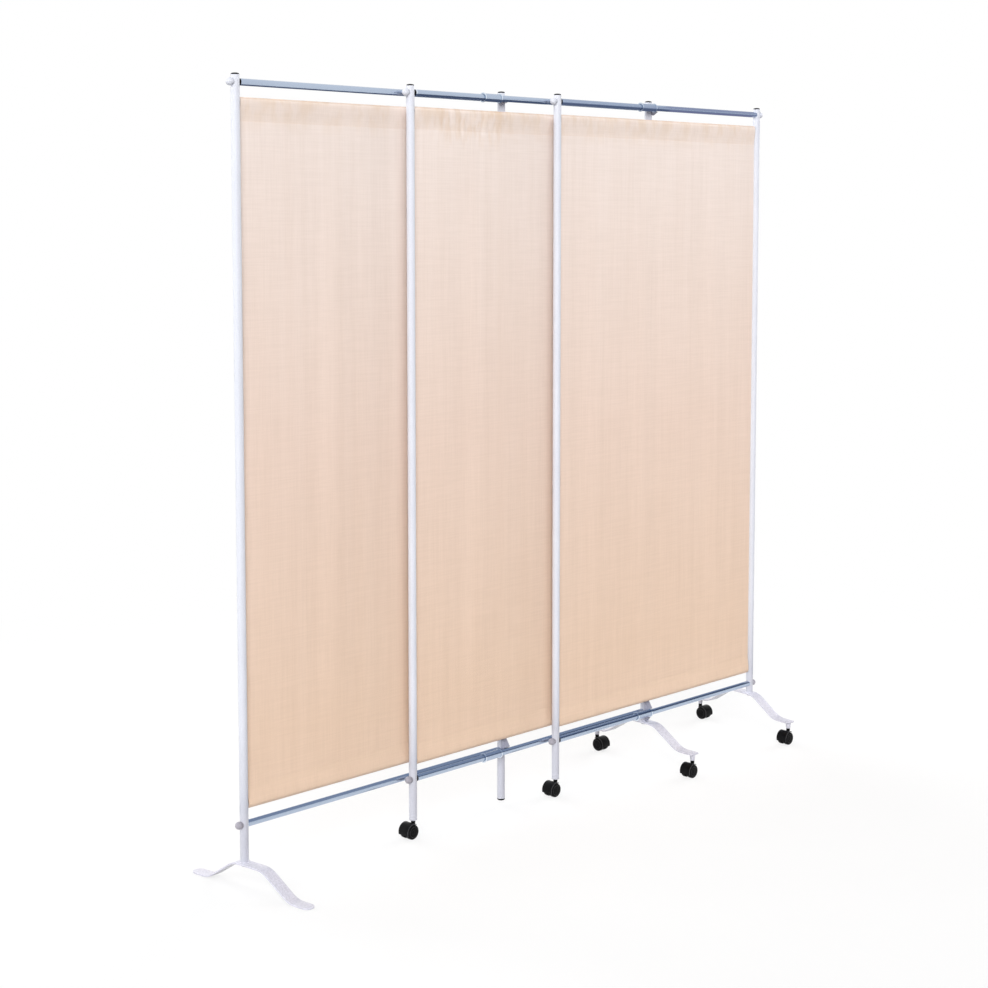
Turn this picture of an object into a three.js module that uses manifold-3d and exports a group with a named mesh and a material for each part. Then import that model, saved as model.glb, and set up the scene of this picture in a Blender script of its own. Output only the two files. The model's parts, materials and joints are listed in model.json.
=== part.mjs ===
// Ward privacy screen: three framed curtain panels that slide past each other on sleeve guides.
// Panel A stands on a flat-bar foot, panels B and C roll on twin-wheel swivel casters.
// Millimetres. X runs along the screen, Y through it, +Z up and the floor is Z = 0. The origin
// is midway between the two outer posts, on the plane of panel B. The front faces -Y.
import * as THREE from 'three';
import { mergeVertices } from 'three/addons/utils/BufferGeometryUtils.js';
import Module from 'manifold-3d';

const wasm = await Module();
wasm.setup();

// Layout: post axis to post axis
const PANEL_A_WIDTH = 811;
const PANEL_B_WIDTH = 856;
const PANEL_C_WIDTH = 824;
const PANEL_A_TO_B = 486;
const PANEL_B_TO_C = 476;
const PANEL_PITCH = 23;

// Clearances
const FIT_GAP = 0.3;
const SLIDE_GAP = 0.4;
const OVERRUN = 5;

// Posts
const POST_OD = 19;
const POST_WALL = 1.4;
const POST_TOP = 1746;
const POST_INSERT_LENGTH = 26;
const DOME_OD = 17;
const DOME_OUT = 14.5;
const PLUG_RISE = 3;
const PLUG_RIM = 1.6;
const PLUG_CROWN_INSET = 3.5;
const PLUG_STEM_LENGTH = 11;
const TIP_CLEARANCE = 12;
const TIP_HEIGHT = 4.5;

// Rails: the upper one hangs below the post tops, the lower one lies over the trolley feet
const RAIL_OD = 15;
const RAIL_WALL = 1.3;
const RAIL_TOP_INSET = 16;
const RAIL_OVER_FOOT = 26;

// Sleeve guides
const GUIDE_WALL = 1.8;
const GUIDE_LENGTH = 58;
const GUIDE_FLANGE_OD = 23;
const GUIDE_FLANGE_THICK = 3;
const GUIDE_A_OFFSET = 30;
const GUIDE_B_OFFSET = 4;
const STRAP_HEIGHT = 12;
const STRAP_PAST_POST = 5;
const STRAP_LAP = 34;
const STRAP_RAIL_GAP = 1;

// Curtains and their rods
const CLOTH_DROP = 31;
const CLOTH_LIFT = 33;
const CLOTH_THICK = 1.4;
const CLOTH_EDGE_GAP = 1;
const HEM_HEIGHT = 52;
const HEM_THICK = 2.4;
const POCKET_WALL = 0.8;
const FOLD_DEPTH = 5;
const ROD_OD = 6;
const ROD_INSET = 9;

// Feet: one flat bar bent into an arch
const BAR_WIDTH = 30;
const BAR_THICK = 4;
const BAR_DROP = 52;
const BAR_BEND_RADIUS = 60;
const PLATEAU_LENGTH = 90;
const FLAT_SPACING = 256;
const STAND_LENGTH = 370;
const TROLLEY_LENGTH = 366;
const TROLLEY_CORNER_RADIUS = 5;
const STEM_SPACING = 346;
const SOCKET_LENGTH = 16;
const SOCKET_TOP_OD = 15;
const SOCKET_END_OD = 11.5;
const BOLT_HEAD_ACROSS = 15;
const BOLT_HEAD_HEIGHT = 5;
const FOOT_TURNS_DEG = { a: 3.4, b: -3.9, c: -8.4 };

// Casters: wheel pair, housing between the wheels, hood, axle and stem
const CASTER_HEIGHT = 42;
const STEM_OD = 8;
const STEM_LENGTH = 19;
const NECK_OD = 10.5;
const NECK_DROP = 15;
const CASTER_TRAIL = 13;
const WHEEL_OD = 36;
const WHEEL_SPACING = 7.2;
const WHEEL_WIDTH = 12.9;
const WHEEL_TREAD_WIDTH = 8;
const WHEEL_EDGE = 1.4;
const WHEEL_SHOULDER = 3;
const WHEEL_FACE_RADIUS = 9;
const WHEEL_CAP_THICK = 3;
const AXLE_OD = 5;
const WEB_THICK = 6;
const WEB_OD = 29;
const HOOD_GAP = 0.7;
const HOOD_THICK = 1.8;
const HOOD_WIDTH = 24;
const HOOD_START_DEG = 28;
const HOOD_END_DEG = 118;

// Facet counts
const ROUND_SIDES = 14;
const PIN_SIDES = 12;
const WHEEL_SIDES = 16;
const DOME_SIDES = 10;
const DOME_RINGS = 5;
const BEND_STEPS = 4;
const PAD_TIP_STEPS = 6;
const CORNER_STEPS = 2;
const HOOD_STEPS = 4;
const HEX_SIDES = 6;
const CLOTH_COLUMNS = 32;

// Folds: waves across a curtain, their shares of the depth, and the rows down the cloth
const FOLD_WAVES = [5, 8];
const FOLD_DEPTH_SHARES = [0.62, 0.38];
const BODY_ROW_SHARES = [0.12, 0.5, 0.88];
const SEAM_SWAY_SHARE = 0.45;
const EDGE_SWAY_SHARE = 0.15;
const BOLT_GRIP_SHARE = 0.8;
const POCKET_STEP_SHARE = 0.88;
const POCKET_SIDE_SHARE = 0.47;
const ROD_REACH_SHARE = 0.5;

// Sizes that follow from the values above
const postRadius = POST_OD / 2;
const postBore = postRadius - POST_WALL;
const stemBore = STEM_OD / 2 + FIT_GAP;
const railRadius = RAIL_OD / 2;
const guideBore = railRadius + SLIDE_GAP;
const standTop = BAR_THICK + BAR_DROP;
const trolleyBase = CASTER_HEIGHT + SOCKET_LENGTH;
const trolleyTop = trolleyBase + standTop;
const railHigh = POST_TOP - RAIL_TOP_INSET;
const railLow = trolleyTop + RAIL_OVER_FOOT;
const rodHigh = railHigh - CLOTH_DROP - ROD_INSET;
const rodLow = railLow + CLOTH_LIFT + ROD_INSET;
const wheelAxleHeight = (WHEEL_OD / 2) * Math.cos(Math.PI / WHEEL_SIDES);
const wheelInner = WHEEL_SPACING / 2;
const wheelOuter = wheelInner + WHEEL_WIDTH;

// Materials
const whitePaint = new THREE.MeshStandardMaterial({ color: 0xe6e7ef, roughness: 0.35, metalness: 0.1 });
const brightSteel = new THREE.MeshStandardMaterial({ color: 0x9fabbd, roughness: 0.22, metalness: 0.9 });
const cloth = new THREE.MeshStandardMaterial({ color: 0xe7cbb4, roughness: 0.9, metalness: 0 });
const blackPlastic = new THREE.MeshStandardMaterial({ color: 0x17171a, roughness: 0.45, metalness: 0 });
const blackTread = new THREE.MeshStandardMaterial({ color: 0x1b1b1e, roughness: 0.6, metalness: 0 });
const zincSteel = new THREE.MeshStandardMaterial({ color: 0xb9bcc2, roughness: 0.4, metalness: 0.8 });

// A closed geometry as a solid that can be joined and cut
const solidOf = (geometry) => {
  const bare = geometry.clone();
  bare.deleteAttribute('normal');
  bare.deleteAttribute('uv');
  const merged = mergeVertices(bare);
  const index = merged.index.array;
  const kept = [];
  for (let i = 0; i < index.length; i += 3) {
    const [a, b, c] = [index[i], index[i + 1], index[i + 2]];
    if (a !== b && b !== c && c !== a) kept.push(a, b, c);
  }
  return new wasm.Manifold(new wasm.Mesh({
    numProp: 3,
    vertProperties: new Float32Array(merged.attributes.position.array),
    triVerts: new Uint32Array(kept),
  }));
};

const geometryOf = (solid) => {
  const mesh = solid.getMesh();
  const geometry = new THREE.BufferGeometry();
  geometry.setAttribute('position', new THREE.BufferAttribute(new Float32Array(mesh.vertProperties), 3));
  geometry.setIndex(new THREE.BufferAttribute(new Uint32Array(mesh.triVerts), 1));
  geometry.computeVertexNormals();
  return geometry;
};

// A profile of [radius, distance along the axis] turned about X, Y or Z
const turned = (profile, axis, sides, startAngle = 0) => {
  const points = profile.map(([radius, along]) => new THREE.Vector2(radius, along));
  const geometry = new THREE.LatheGeometry(points, sides, startAngle);
  if (axis === 'x') geometry.rotateZ(-Math.PI / 2);
  if (axis === 'z') geometry.rotateX(Math.PI / 2);
  return geometry;
};

// Profiles run so that the faces point out: up the outside and down the inside
const rodProfile = (radius, from, to) => [[0, from], [radius, from], [radius, to], [0, to]];

const tubeProfile = (bore, radius, from, to) =>
  [[bore, from], [radius, from], [radius, to], [bore, to], [bore, from]];

const rod = (radius, axis, from, to, sides) => turned(rodProfile(radius, from, to), axis, sides);

const moved = (geometry, x, y, z) => geometry.translate(x, y, z);

const shift = (solid, x, y, z) => solidOf(moved(geometryOf(solid), x, y, z));

// Post: tube with a dome cap at each rail, holes for the curtain rods and, where it takes a
// stem or a bolt, an insert in its lower end. outward is +1 or -1, the side of the domes.
const makePost = (bottom, outward, hasInsert) => {
  const insertTop = bottom + POST_INSERT_LENGTH;
  const inside = hasInsert
    ? [[postBore, insertTop], [stemBore, insertTop], [stemBore, bottom]]
    : [[postBore, bottom]];
  const outside = [inside.at(-1), [postRadius, bottom], [postRadius, POST_TOP], [postBore, POST_TOP]];
  const cavityFloor = hasInsert ? insertTop : bottom - OVERRUN;
  const cavity = solidOf(rod(postBore, 'z', cavityFloor, POST_TOP + OVERRUN, ROUND_SIDES));
  let post = solidOf(turned([...outside, ...inside], 'z', ROUND_SIDES));
  for (const railHeight of [railLow, railHigh]) {
    const dome = new THREE.SphereGeometry(DOME_OD / 2, DOME_SIDES, DOME_RINGS);
    const seated = solidOf(moved(dome, outward * DOME_OUT, 0, railHeight)).subtract(cavity);
    post = post.add(seated);
  }
  const rodHole = ROD_OD / 2 + FIT_GAP;
  const [holeStart, holeEnd] = outward > 0 ? [-postRadius - OVERRUN, 0] : [0, postRadius + OVERRUN];
  for (const rodHeight of [rodLow, rodHigh]) {
    const hole = moved(rod(rodHole, 'x', holeStart, holeEnd, PIN_SIDES), 0, 0, rodHeight);
    post = post.subtract(solidOf(hole));
  }
  return geometryOf(post);
};

// The space that a post takes, used to shape the ends that seat on it
const postEnvelope = (x) => {
  const reach = GUIDE_FLANGE_OD + OVERRUN;
  return solidOf(moved(rod(postRadius + FIT_GAP, 'z', -reach, reach, ROUND_SIDES), x, 0, 0));
};

// Rail: tube between two posts, with saddle-shaped ends
const makeRail = (width) => {
  const tube = solidOf(turned(tubeProfile(railRadius - RAIL_WALL, railRadius, 0, width), 'x', ROUND_SIDES));
  return geometryOf(tube.subtract(postEnvelope(0)).subtract(postEnvelope(width)));
};

// Guide: flanged sleeve round the next panel's rail, joined to its own post by a strap
const makeGuide = (offset) => {
  const near = -offset;
  const far = near - GUIDE_LENGTH;
  const flange = GUIDE_FLANGE_OD / 2;
  const sleeve = guideBore + GUIDE_WALL;
  const profile = [
    [guideBore, far],
    [flange, far],
    [flange, far + GUIDE_FLANGE_THICK],
    [sleeve, far + GUIDE_FLANGE_THICK],
    [sleeve, near - GUIDE_FLANGE_THICK],
    [flange, near - GUIDE_FLANGE_THICK],
    [flange, near],
    [guideBore, near],
    [guideBore, far],
  ];
  const body = solidOf(moved(turned(profile, 'x', ROUND_SIDES), 0, -PANEL_PITCH, 0));
  const strapStart = near - STRAP_LAP;
  const strapBack = -railRadius - STRAP_RAIL_GAP;
  const strap = new THREE.BoxGeometry(STRAP_PAST_POST - strapStart, strapBack + PANEL_PITCH, STRAP_HEIGHT);
  moved(strap, (STRAP_PAST_POST + strapStart) / 2, (strapBack - PANEL_PITCH) / 2, 0);
  const reach = GUIDE_LENGTH + offset + OVERRUN;
  const bore = solidOf(moved(rod(guideBore, 'x', -reach, OVERRUN * 2, ROUND_SIDES), 0, -PANEL_PITCH, 0));
  return geometryOf(body.add(solidOf(strap)).subtract(bore).subtract(postEnvelope(0)));
};

// Plug: rim with a crown outside the tube and a stem inside it, end at z = 0, rim upwards
const makePlug = (rise) => turned([
  [0, -PLUG_STEM_LENGTH],
  [postBore - FIT_GAP, -PLUG_STEM_LENGTH],
  [postBore - FIT_GAP, FIT_GAP],
  [postRadius, FIT_GAP],
  [postRadius, rise - PLUG_RIM / 2],
  [postRadius - PLUG_CROWN_INSET, rise],
  [0, rise],
], 'z', ROUND_SIDES);

// Curtain: cloth with a rod pocket in each hem, hanging in folds
const makeCurtain = (width, phase) => {
  const top = railHigh - CLOTH_DROP;
  const bottom = railLow + CLOTH_LIFT;
  const pocket = ROD_OD / 2 + FIT_GAP + POCKET_WALL;
  const step = pocket * POCKET_STEP_SHARE;
  const hem = (edge, axis, seam) => {
    const inward = Math.sign(axis - edge);
    return [
      { z: edge, half: HEM_THICK / 2, sway: EDGE_SWAY_SHARE },
      { z: axis - inward * step, half: pocket * POCKET_SIDE_SHARE, sway: 0 },
      { z: axis, half: pocket, sway: 0 },
      { z: axis + inward * step, half: pocket * POCKET_SIDE_SHARE, sway: 0 },
      { z: seam, half: HEM_THICK / 2, sway: SEAM_SWAY_SHARE },
    ];
  };
  const lowSeam = bottom + HEM_HEIGHT;
  const highSeam = top - HEM_HEIGHT;
  const body = BODY_ROW_SHARES.map((share) => (
    { z: lowSeam + (highSeam - lowSeam) * share, half: CLOTH_THICK / 2, sway: 1 }
  ));
  const rows = [...hem(bottom, rodLow, lowSeam), ...body, ...hem(top, rodHigh, highSeam).reverse()];
  const fold = (share) => FOLD_WAVES.reduce((sum, waves, i) => (
    sum + FOLD_DEPTH_SHARES[i] * Math.sin(Math.PI * 2 * (waves * share + phase * (i + 1)))
  ), 0) * FOLD_DEPTH;
  const positions = [];
  for (const face of [-1, 1]) {
    for (const row of rows) {
      for (let column = 0; column <= CLOTH_COLUMNS; column += 1) {
        const share = column / CLOTH_COLUMNS;
        positions.push(width * (share - 0.5), fold(share) * row.sway + face * row.half, row.z);
      }
    }
  }
  const stride = CLOTH_COLUMNS + 1;
  const at = (face, row, column) => face * rows.length * stride + row * stride + column;
  const index = [];
  const quad = (a, b, c, d) => index.push(a, b, c, a, c, d);
  for (let row = 0; row < rows.length - 1; row += 1) {
    for (let column = 0; column < CLOTH_COLUMNS; column += 1) {
      const next = column + 1;
      quad(at(0, row, column), at(0, row, next), at(0, row + 1, next), at(0, row + 1, column));
      quad(at(1, row, next), at(1, row, column), at(1, row + 1, column), at(1, row + 1, next));
    }
    quad(at(1, row, 0), at(0, row, 0), at(0, row + 1, 0), at(1, row + 1, 0));
    quad(at(0, row, CLOTH_COLUMNS), at(1, row, CLOTH_COLUMNS),
      at(1, row + 1, CLOTH_COLUMNS), at(0, row + 1, CLOTH_COLUMNS));
  }
  const last = rows.length - 1;
  for (let column = 0; column < CLOTH_COLUMNS; column += 1) {
    const next = column + 1;
    quad(at(1, 0, column), at(1, 0, next), at(0, 0, next), at(0, 0, column));
    quad(at(0, last, column), at(0, last, next), at(1, last, next), at(1, last, column));
  }
  const sheet = new THREE.BufferGeometry();
  sheet.setAttribute('position', new THREE.BufferAttribute(new Float32Array(positions), 3));
  sheet.setIndex(index);
  let curtain = solidOf(sheet);
  const reach = width / 2 + OVERRUN;
  for (const height of [rodLow, rodHigh]) {
    const pocketBore = rod(ROD_OD / 2 + FIT_GAP, 'x', -reach, reach, PIN_SIDES);
    curtain = curtain.subtract(solidOf(moved(pocketBore, 0, 0, height)));
  }
  return geometryOf(curtain);
};

// The outline of a bar bent along a path: arcs of one radius at every inner corner
const bentBar = (corners, radius, thickness) => {
  const points = [];
  corners.forEach((corner, i) => {
    const before = corners[i - 1];
    const after = corners[i + 1];
    if (!before || !after) {
      const along = after ? after.clone().sub(corner) : corner.clone().sub(before);
      points.push({ at: corner, along: along.normalize() });
      return;
    }
    const into = corner.clone().sub(before).normalize();
    const out = after.clone().sub(corner).normalize();
    const turn = Math.atan2(into.cross(out), into.dot(out));
    const cut = radius * Math.tan(Math.abs(turn) / 2);
    const side = new THREE.Vector2(-into.y, into.x).multiplyScalar(Math.sign(turn) * radius);
    const centre = corner.clone().addScaledVector(into, -cut).add(side);
    const pivot = new THREE.Vector2();
    for (let stepIndex = 0; stepIndex <= BEND_STEPS; stepIndex += 1) {
      const angle = (turn * stepIndex) / BEND_STEPS;
      const spoke = side.clone().negate().rotateAround(pivot, angle);
      points.push({ at: centre.clone().add(spoke), along: into.clone().rotateAround(pivot, angle) });
    }
  });
  const offset = (amount) => points.map(({ at: place, along }) => (
    new THREE.Vector2(place.x - along.y * amount, place.y + along.x * amount)
  ));
  return new THREE.Shape([...offset(-thickness / 2), ...offset(thickness / 2).reverse()]);
};

// A shape drawn in (Y, Z) and extruded along X, centred on X = 0
const acrossX = (shape, width) => {
  const geometry = new THREE.ExtrudeGeometry(shape, { depth: width, bevelEnabled: false });
  const basis = new THREE.Matrix4().makeBasis(
    new THREE.Vector3(0, 1, 0),
    new THREE.Vector3(0, 0, 1),
    new THREE.Vector3(1, 0, 0),
  );
  return moved(geometry.applyMatrix4(basis), -width / 2, 0, 0);
};

// A shape drawn in (X, Z) and extruded along Y, centred on Y = 0
const acrossY = (shape, width) => {
  const geometry = new THREE.ExtrudeGeometry(shape, { depth: width, bevelEnabled: false });
  return moved(geometry.rotateX(Math.PI / 2), 0, width / 2, 0);
};

// Foot: the bent bar with rounded tips in plan, a bolt hole under the post and, on a trolley
// foot, a stem socket near each tip. z = 0 is the underside of the tips.
const makeFoot = (length, cornerRadius, cornerSteps, postY, hasSockets) => {
  const [end, flat, crown] = [length / 2, FLAT_SPACING / 2, PLATEAU_LENGTH / 2];
  const low = BAR_THICK / 2;
  const high = low + BAR_DROP;
  const corners = [[-end, low], [-flat, low], [-crown, high], [crown, high], [flat, low], [end, low]]
    .map(([y, z]) => new THREE.Vector2(y, z));
  const bar = solidOf(acrossX(bentBar(corners, BAR_BEND_RADIUS, BAR_THICK), BAR_WIDTH));
  const [x, y, r] = [BAR_WIDTH / 2, end, cornerRadius];
  const plan = new THREE.Shape();
  plan.absarc(x - r, y - r, r, 0, Math.PI / 2);
  plan.absarc(r - x, y - r, r, Math.PI / 2, Math.PI);
  plan.absarc(r - x, r - y, r, Math.PI, Math.PI * 1.5);
  plan.absarc(x - r, r - y, r, Math.PI * 1.5, Math.PI * 2);
  const tall = standTop + OVERRUN * 2;
  const blankOptions = { depth: tall, bevelEnabled: false, curveSegments: cornerSteps };
  const blank = new THREE.ExtrudeGeometry(plan, blankOptions);
  let foot = bar.intersect(solidOf(moved(blank, 0, 0, -OVERRUN)));
  if (hasSockets) {
    for (const side of [-1, 1]) {
      const profile = [
        [0, -SOCKET_LENGTH],
        [SOCKET_END_OD / 2, -SOCKET_LENGTH],
        [SOCKET_TOP_OD / 2, BAR_THICK / 2],
        [0, BAR_THICK / 2],
      ];
      const stemY = (side * STEM_SPACING) / 2;
      const socket = moved(turned(profile, 'z', PIN_SIDES), 0, stemY, 0);
      const boreStart = -SOCKET_LENGTH - OVERRUN;
      const bore = moved(rod(stemBore, 'z', boreStart, BAR_THICK + OVERRUN, PIN_SIDES), 0, stemY, 0);
      foot = foot.add(solidOf(socket)).subtract(solidOf(bore));
    }
  }
  const boltHole = rod(stemBore, 'z', BAR_DROP - OVERRUN, standTop + OVERRUN, PIN_SIDES);
  return geometryOf(foot.subtract(solidOf(moved(boltHole, 0, postY, 0))));
};

// Bolt: hexagon head under the bar and a shank into the post's insert, z = 0 under the bar
const makeBolt = () => {
  const head = solidOf(rod(BOLT_HEAD_ACROSS / 2, 'z', -BOLT_HEAD_HEIGHT - FIT_GAP, -FIT_GAP, HEX_SIDES));
  const grip = BAR_THICK + POST_INSERT_LENGTH * BOLT_GRIP_SHARE;
  return geometryOf(head.add(solidOf(rod(STEM_OD / 2, 'z', -BOLT_HEAD_HEIGHT, grip, PIN_SIDES))));
};

// The room that one wheel turns in, side is +1 or -1
const wheelRoom = (side) => {
  const [from, to] = [wheelInner - FIT_GAP * 2, wheelOuter + OVERRUN];
  const room = rod(WHEEL_OD / 2 + HOOD_GAP, 'y', side > 0 ? from : -to, side > 0 ? to : -from, PIN_SIDES);
  return solidOf(moved(room, -CASTER_TRAIL, 0, wheelAxleHeight));
};

// Caster housing: web between the wheels, hood over them, neck, stem and axle.
// Origin on the floor under the stem, the wheels trail towards -X.
const makeHousing = () => {
  const axle = solidOf(rod(AXLE_OD / 2, 'y', -wheelOuter + WHEEL_CAP_THICK + FIT_GAP,
    wheelOuter - WHEEL_CAP_THICK - FIT_GAP, PIN_SIDES));
  const web = solidOf(rod(WEB_OD / 2, 'y', -WEB_THICK / 2, WEB_THICK / 2, PIN_SIDES));
  const hoodInner = WHEEL_OD / 2 + HOOD_GAP;
  const [start, end] = [HOOD_START_DEG, HOOD_END_DEG].map(THREE.MathUtils.degToRad);
  const arc = new THREE.Shape();
  arc.absarc(0, 0, hoodInner + HOOD_THICK, start, end, false);
  arc.absarc(0, 0, hoodInner, end, start, true);
  const hoodOptions = { depth: HOOD_WIDTH, bevelEnabled: false, curveSegments: HOOD_STEPS };
  const hood = new THREE.ExtrudeGeometry(arc, hoodOptions).rotateX(Math.PI / 2);
  moved(hood, 0, HOOD_WIDTH / 2, 0);
  const rib = new THREE.Shape();
  rib.moveTo(0, 0);
  rib.absarc(0, 0, hoodInner + HOOD_THICK / 2, start, end, false);
  const ribSolid = solidOf(acrossY(rib, WEB_THICK));
  const wheelSide = axle.add(web).add(ribSolid).add(solidOf(hood));
  const placed = shift(wheelSide, -CASTER_TRAIL, 0, wheelAxleHeight);
  const neckTop = CASTER_HEIGHT - FIT_GAP;
  const neck = solidOf(rod(NECK_OD / 2, 'z', neckTop - NECK_DROP, neckTop, PIN_SIDES));
  const stemTop = CASTER_HEIGHT + STEM_LENGTH;
  const stem = solidOf(rod(STEM_OD / 2, 'z', neckTop - NECK_DROP / 2, stemTop, PIN_SIDES));
  const spindle = neck.add(stem).subtract(wheelRoom(1)).subtract(wheelRoom(-1));
  return geometryOf(placed.add(spindle));
};

// Wheel: tread, domed outer face and a blind bore for the axle, turned about Y, outer face to +Y
const makeWheel = () => {
  const bore = AXLE_OD / 2 + FIT_GAP;
  const rim = WHEEL_OD / 2;
  const boreEnd = wheelOuter - WHEEL_CAP_THICK;
  const treadEnd = wheelInner + WHEEL_EDGE + WHEEL_TREAD_WIDTH;
  return turned([
    [0, boreEnd],
    [bore, boreEnd],
    [bore, wheelInner],
    [rim - WHEEL_EDGE, wheelInner],
    [rim, wheelInner + WHEEL_EDGE],
    [rim, treadEnd],
    [rim - WHEEL_SHOULDER, wheelOuter - WHEEL_EDGE],
    [WHEEL_FACE_RADIUS, wheelOuter],
    [0, wheelOuter],
  ], 'y', WHEEL_SIDES, Math.PI / WHEEL_SIDES);
};

// Assembly
const screen = new THREE.Group();
const overallX = PANEL_A_TO_B + PANEL_B_TO_C + PANEL_C_WIDTH;
screen.position.x = -overallX / 2;

const place = (parent, name, geometry, material, x = 0, y = 0, z = 0) => {
  const mesh = new THREE.Mesh(geometry, material);
  mesh.name = name;
  mesh.position.set(x, y, z);
  parent.add(mesh);
  return mesh;
};

const placeCaster = (parent, name, x, y, trailTurn) => {
  const group = new THREE.Group();
  group.position.set(x, y, 0);
  group.rotation.z = trailTurn - parent.rotation.z;
  parent.add(group);
  place(group, `${name}_housing`, makeHousing(), blackPlastic);
  ['1', '2'].forEach((suffix, i) => {
    const wheel = place(group, `${name}_wheel_${suffix}`, makeWheel(), blackTread);
    wheel.position.set(-CASTER_TRAIL, 0, wheelAxleHeight);
    wheel.rotation.z = i * Math.PI;
  });
};

// Each panel: posts, rails, rods, curtain and plugs in its own plane
const placePanel = ({ id, x, y, width, leftBottom, rightBottom, leftInsert, rightInsert, phase }) => {
  const group = new THREE.Group();
  group.position.set(x, y, 0);
  screen.add(group);
  place(group, `post_${id}_left`, makePost(leftBottom, -1, leftInsert), whitePaint);
  place(group, `post_${id}_right`, makePost(rightBottom, 1, rightInsert), whitePaint, width);
  const ends = [['left', 0], ['right', width]];
  ends.forEach(([side, postX]) => {
    place(group, `end_plug_${id}_${side}`, makePlug(PLUG_RISE), blackPlastic, postX, 0, POST_TOP);
  });
  const rodEnd = postRadius * ROD_REACH_SHARE;
  const levels = [['top', railHigh, rodHigh], ['bottom', railLow, rodLow]];
  levels.forEach(([level, railHeight, rodHeight]) => {
    place(group, `rail_${id}_${level}`, makeRail(width), brightSteel, 0, 0, railHeight);
    const bar = rod(ROD_OD / 2, 'x', rodEnd, width - rodEnd, PIN_SIDES);
    place(group, `curtain_rod_${id}_${level}`, bar, zincSteel, 0, 0, rodHeight);
  });
  const clothWidth = width - POST_OD - CLOTH_EDGE_GAP * 2;
  place(group, `curtain_${id}`, makeCurtain(clothWidth, phase), cloth, width / 2);
  return group;
};

const footSeat = FIT_GAP;
const PHASE_SHARES = [0.05, 0.41, 0.73];

const panelA = placePanel({
  id: 'a',
  x: 0,
  y: PANEL_PITCH,
  width: PANEL_A_WIDTH,
  leftBottom: standTop + footSeat,
  rightBottom: TIP_CLEARANCE + TIP_HEIGHT,
  leftInsert: true,
  rightInsert: false,
  phase: PHASE_SHARES[0],
});
const panelB = placePanel({
  id: 'b',
  x: PANEL_A_TO_B,
  y: 0,
  width: PANEL_B_WIDTH,
  leftBottom: CASTER_HEIGHT,
  rightBottom: trolleyTop + footSeat,
  leftInsert: true,
  rightInsert: true,
  phase: PHASE_SHARES[1],
});
const panelC = placePanel({
  id: 'c',
  x: PANEL_A_TO_B + PANEL_B_TO_C,
  y: -PANEL_PITCH,
  width: PANEL_C_WIDTH,
  leftBottom: CASTER_HEIGHT,
  rightBottom: trolleyTop + footSeat,
  leftInsert: true,
  rightInsert: true,
  phase: PHASE_SHARES[2],
});

// Rubber tip under the free post of panel A
const tip = place(panelA, 'tip_a_right', makePlug(TIP_HEIGHT), blackPlastic, PANEL_A_WIDTH);
tip.position.z = TIP_CLEARANCE + TIP_HEIGHT;
tip.rotation.x = Math.PI;

// Guides on the right posts of panels A and B
[[panelA, 'a', PANEL_A_WIDTH, GUIDE_A_OFFSET], [panelB, 'b', PANEL_B_WIDTH, GUIDE_B_OFFSET]]
  .forEach(([group, id, postX, offset]) => {
    place(group, `guide_${id}_top`, makeGuide(offset), brightSteel, postX, 0, railHigh);
    place(group, `guide_${id}_bottom`, makeGuide(offset), brightSteel, postX, 0, railLow);
  });

// Feet, centred on the middle panel's plane, so the posts of A and C stand off centre. Each one
// is turned a little about its bolt.
const placeFoot = (id, x, postY, base, geometry) => {
  const group = new THREE.Group();
  group.position.set(x, postY, 0);
  group.rotation.z = THREE.MathUtils.degToRad(FOOT_TURNS_DEG[id]);
  screen.add(group);
  place(group, `foot_${id}`, geometry, whitePaint, 0, -postY, base);
  place(group, `foot_bolt_${id}`, makeBolt(), zincSteel, 0, 0, base + BAR_DROP);
  return group;
};
const rightB = PANEL_A_TO_B + PANEL_B_WIDTH;
placeFoot('a', 0, PANEL_PITCH, 0, makeFoot(STAND_LENGTH, BAR_WIDTH / 2, PAD_TIP_STEPS, PANEL_PITCH, false));

// Casters: the ones under a post and at the front trail towards -X, the rear ones towards -Y
const placeTrolley = (id, x, postY) => {
  const bar = makeFoot(TROLLEY_LENGTH, TROLLEY_CORNER_RADIUS, CORNER_STEPS, postY, true);
  const foot = placeFoot(id, x, postY, trolleyBase, bar);
  placeCaster(foot, `caster_${id}_front`, 0, -STEM_SPACING / 2 - postY, 0);
  placeCaster(foot, `caster_${id}_back`, 0, STEM_SPACING / 2 - postY, Math.PI / 2);
};
placeTrolley('b', rightB, 0);
placeTrolley('c', overallX, -PANEL_PITCH);
placeCaster(screen, 'caster_b_left', PANEL_A_TO_B, 0, 0);
placeCaster(screen, 'caster_c_left', PANEL_A_TO_B + PANEL_B_TO_C, -PANEL_PITCH, 0);

export default screen;
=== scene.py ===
# Ward privacy screen: three framed curtain panels on sleeve guides, a flat-bar foot and casters.
# Metres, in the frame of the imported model: X along the screen, front towards -Y, floor at Z = 0.
import json
from math import atan2, copysign, cos, exp, pi, radians, sin, sqrt, tan, tau

import bmesh
import bpy
from mathutils import Matrix, Vector, noise


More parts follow.
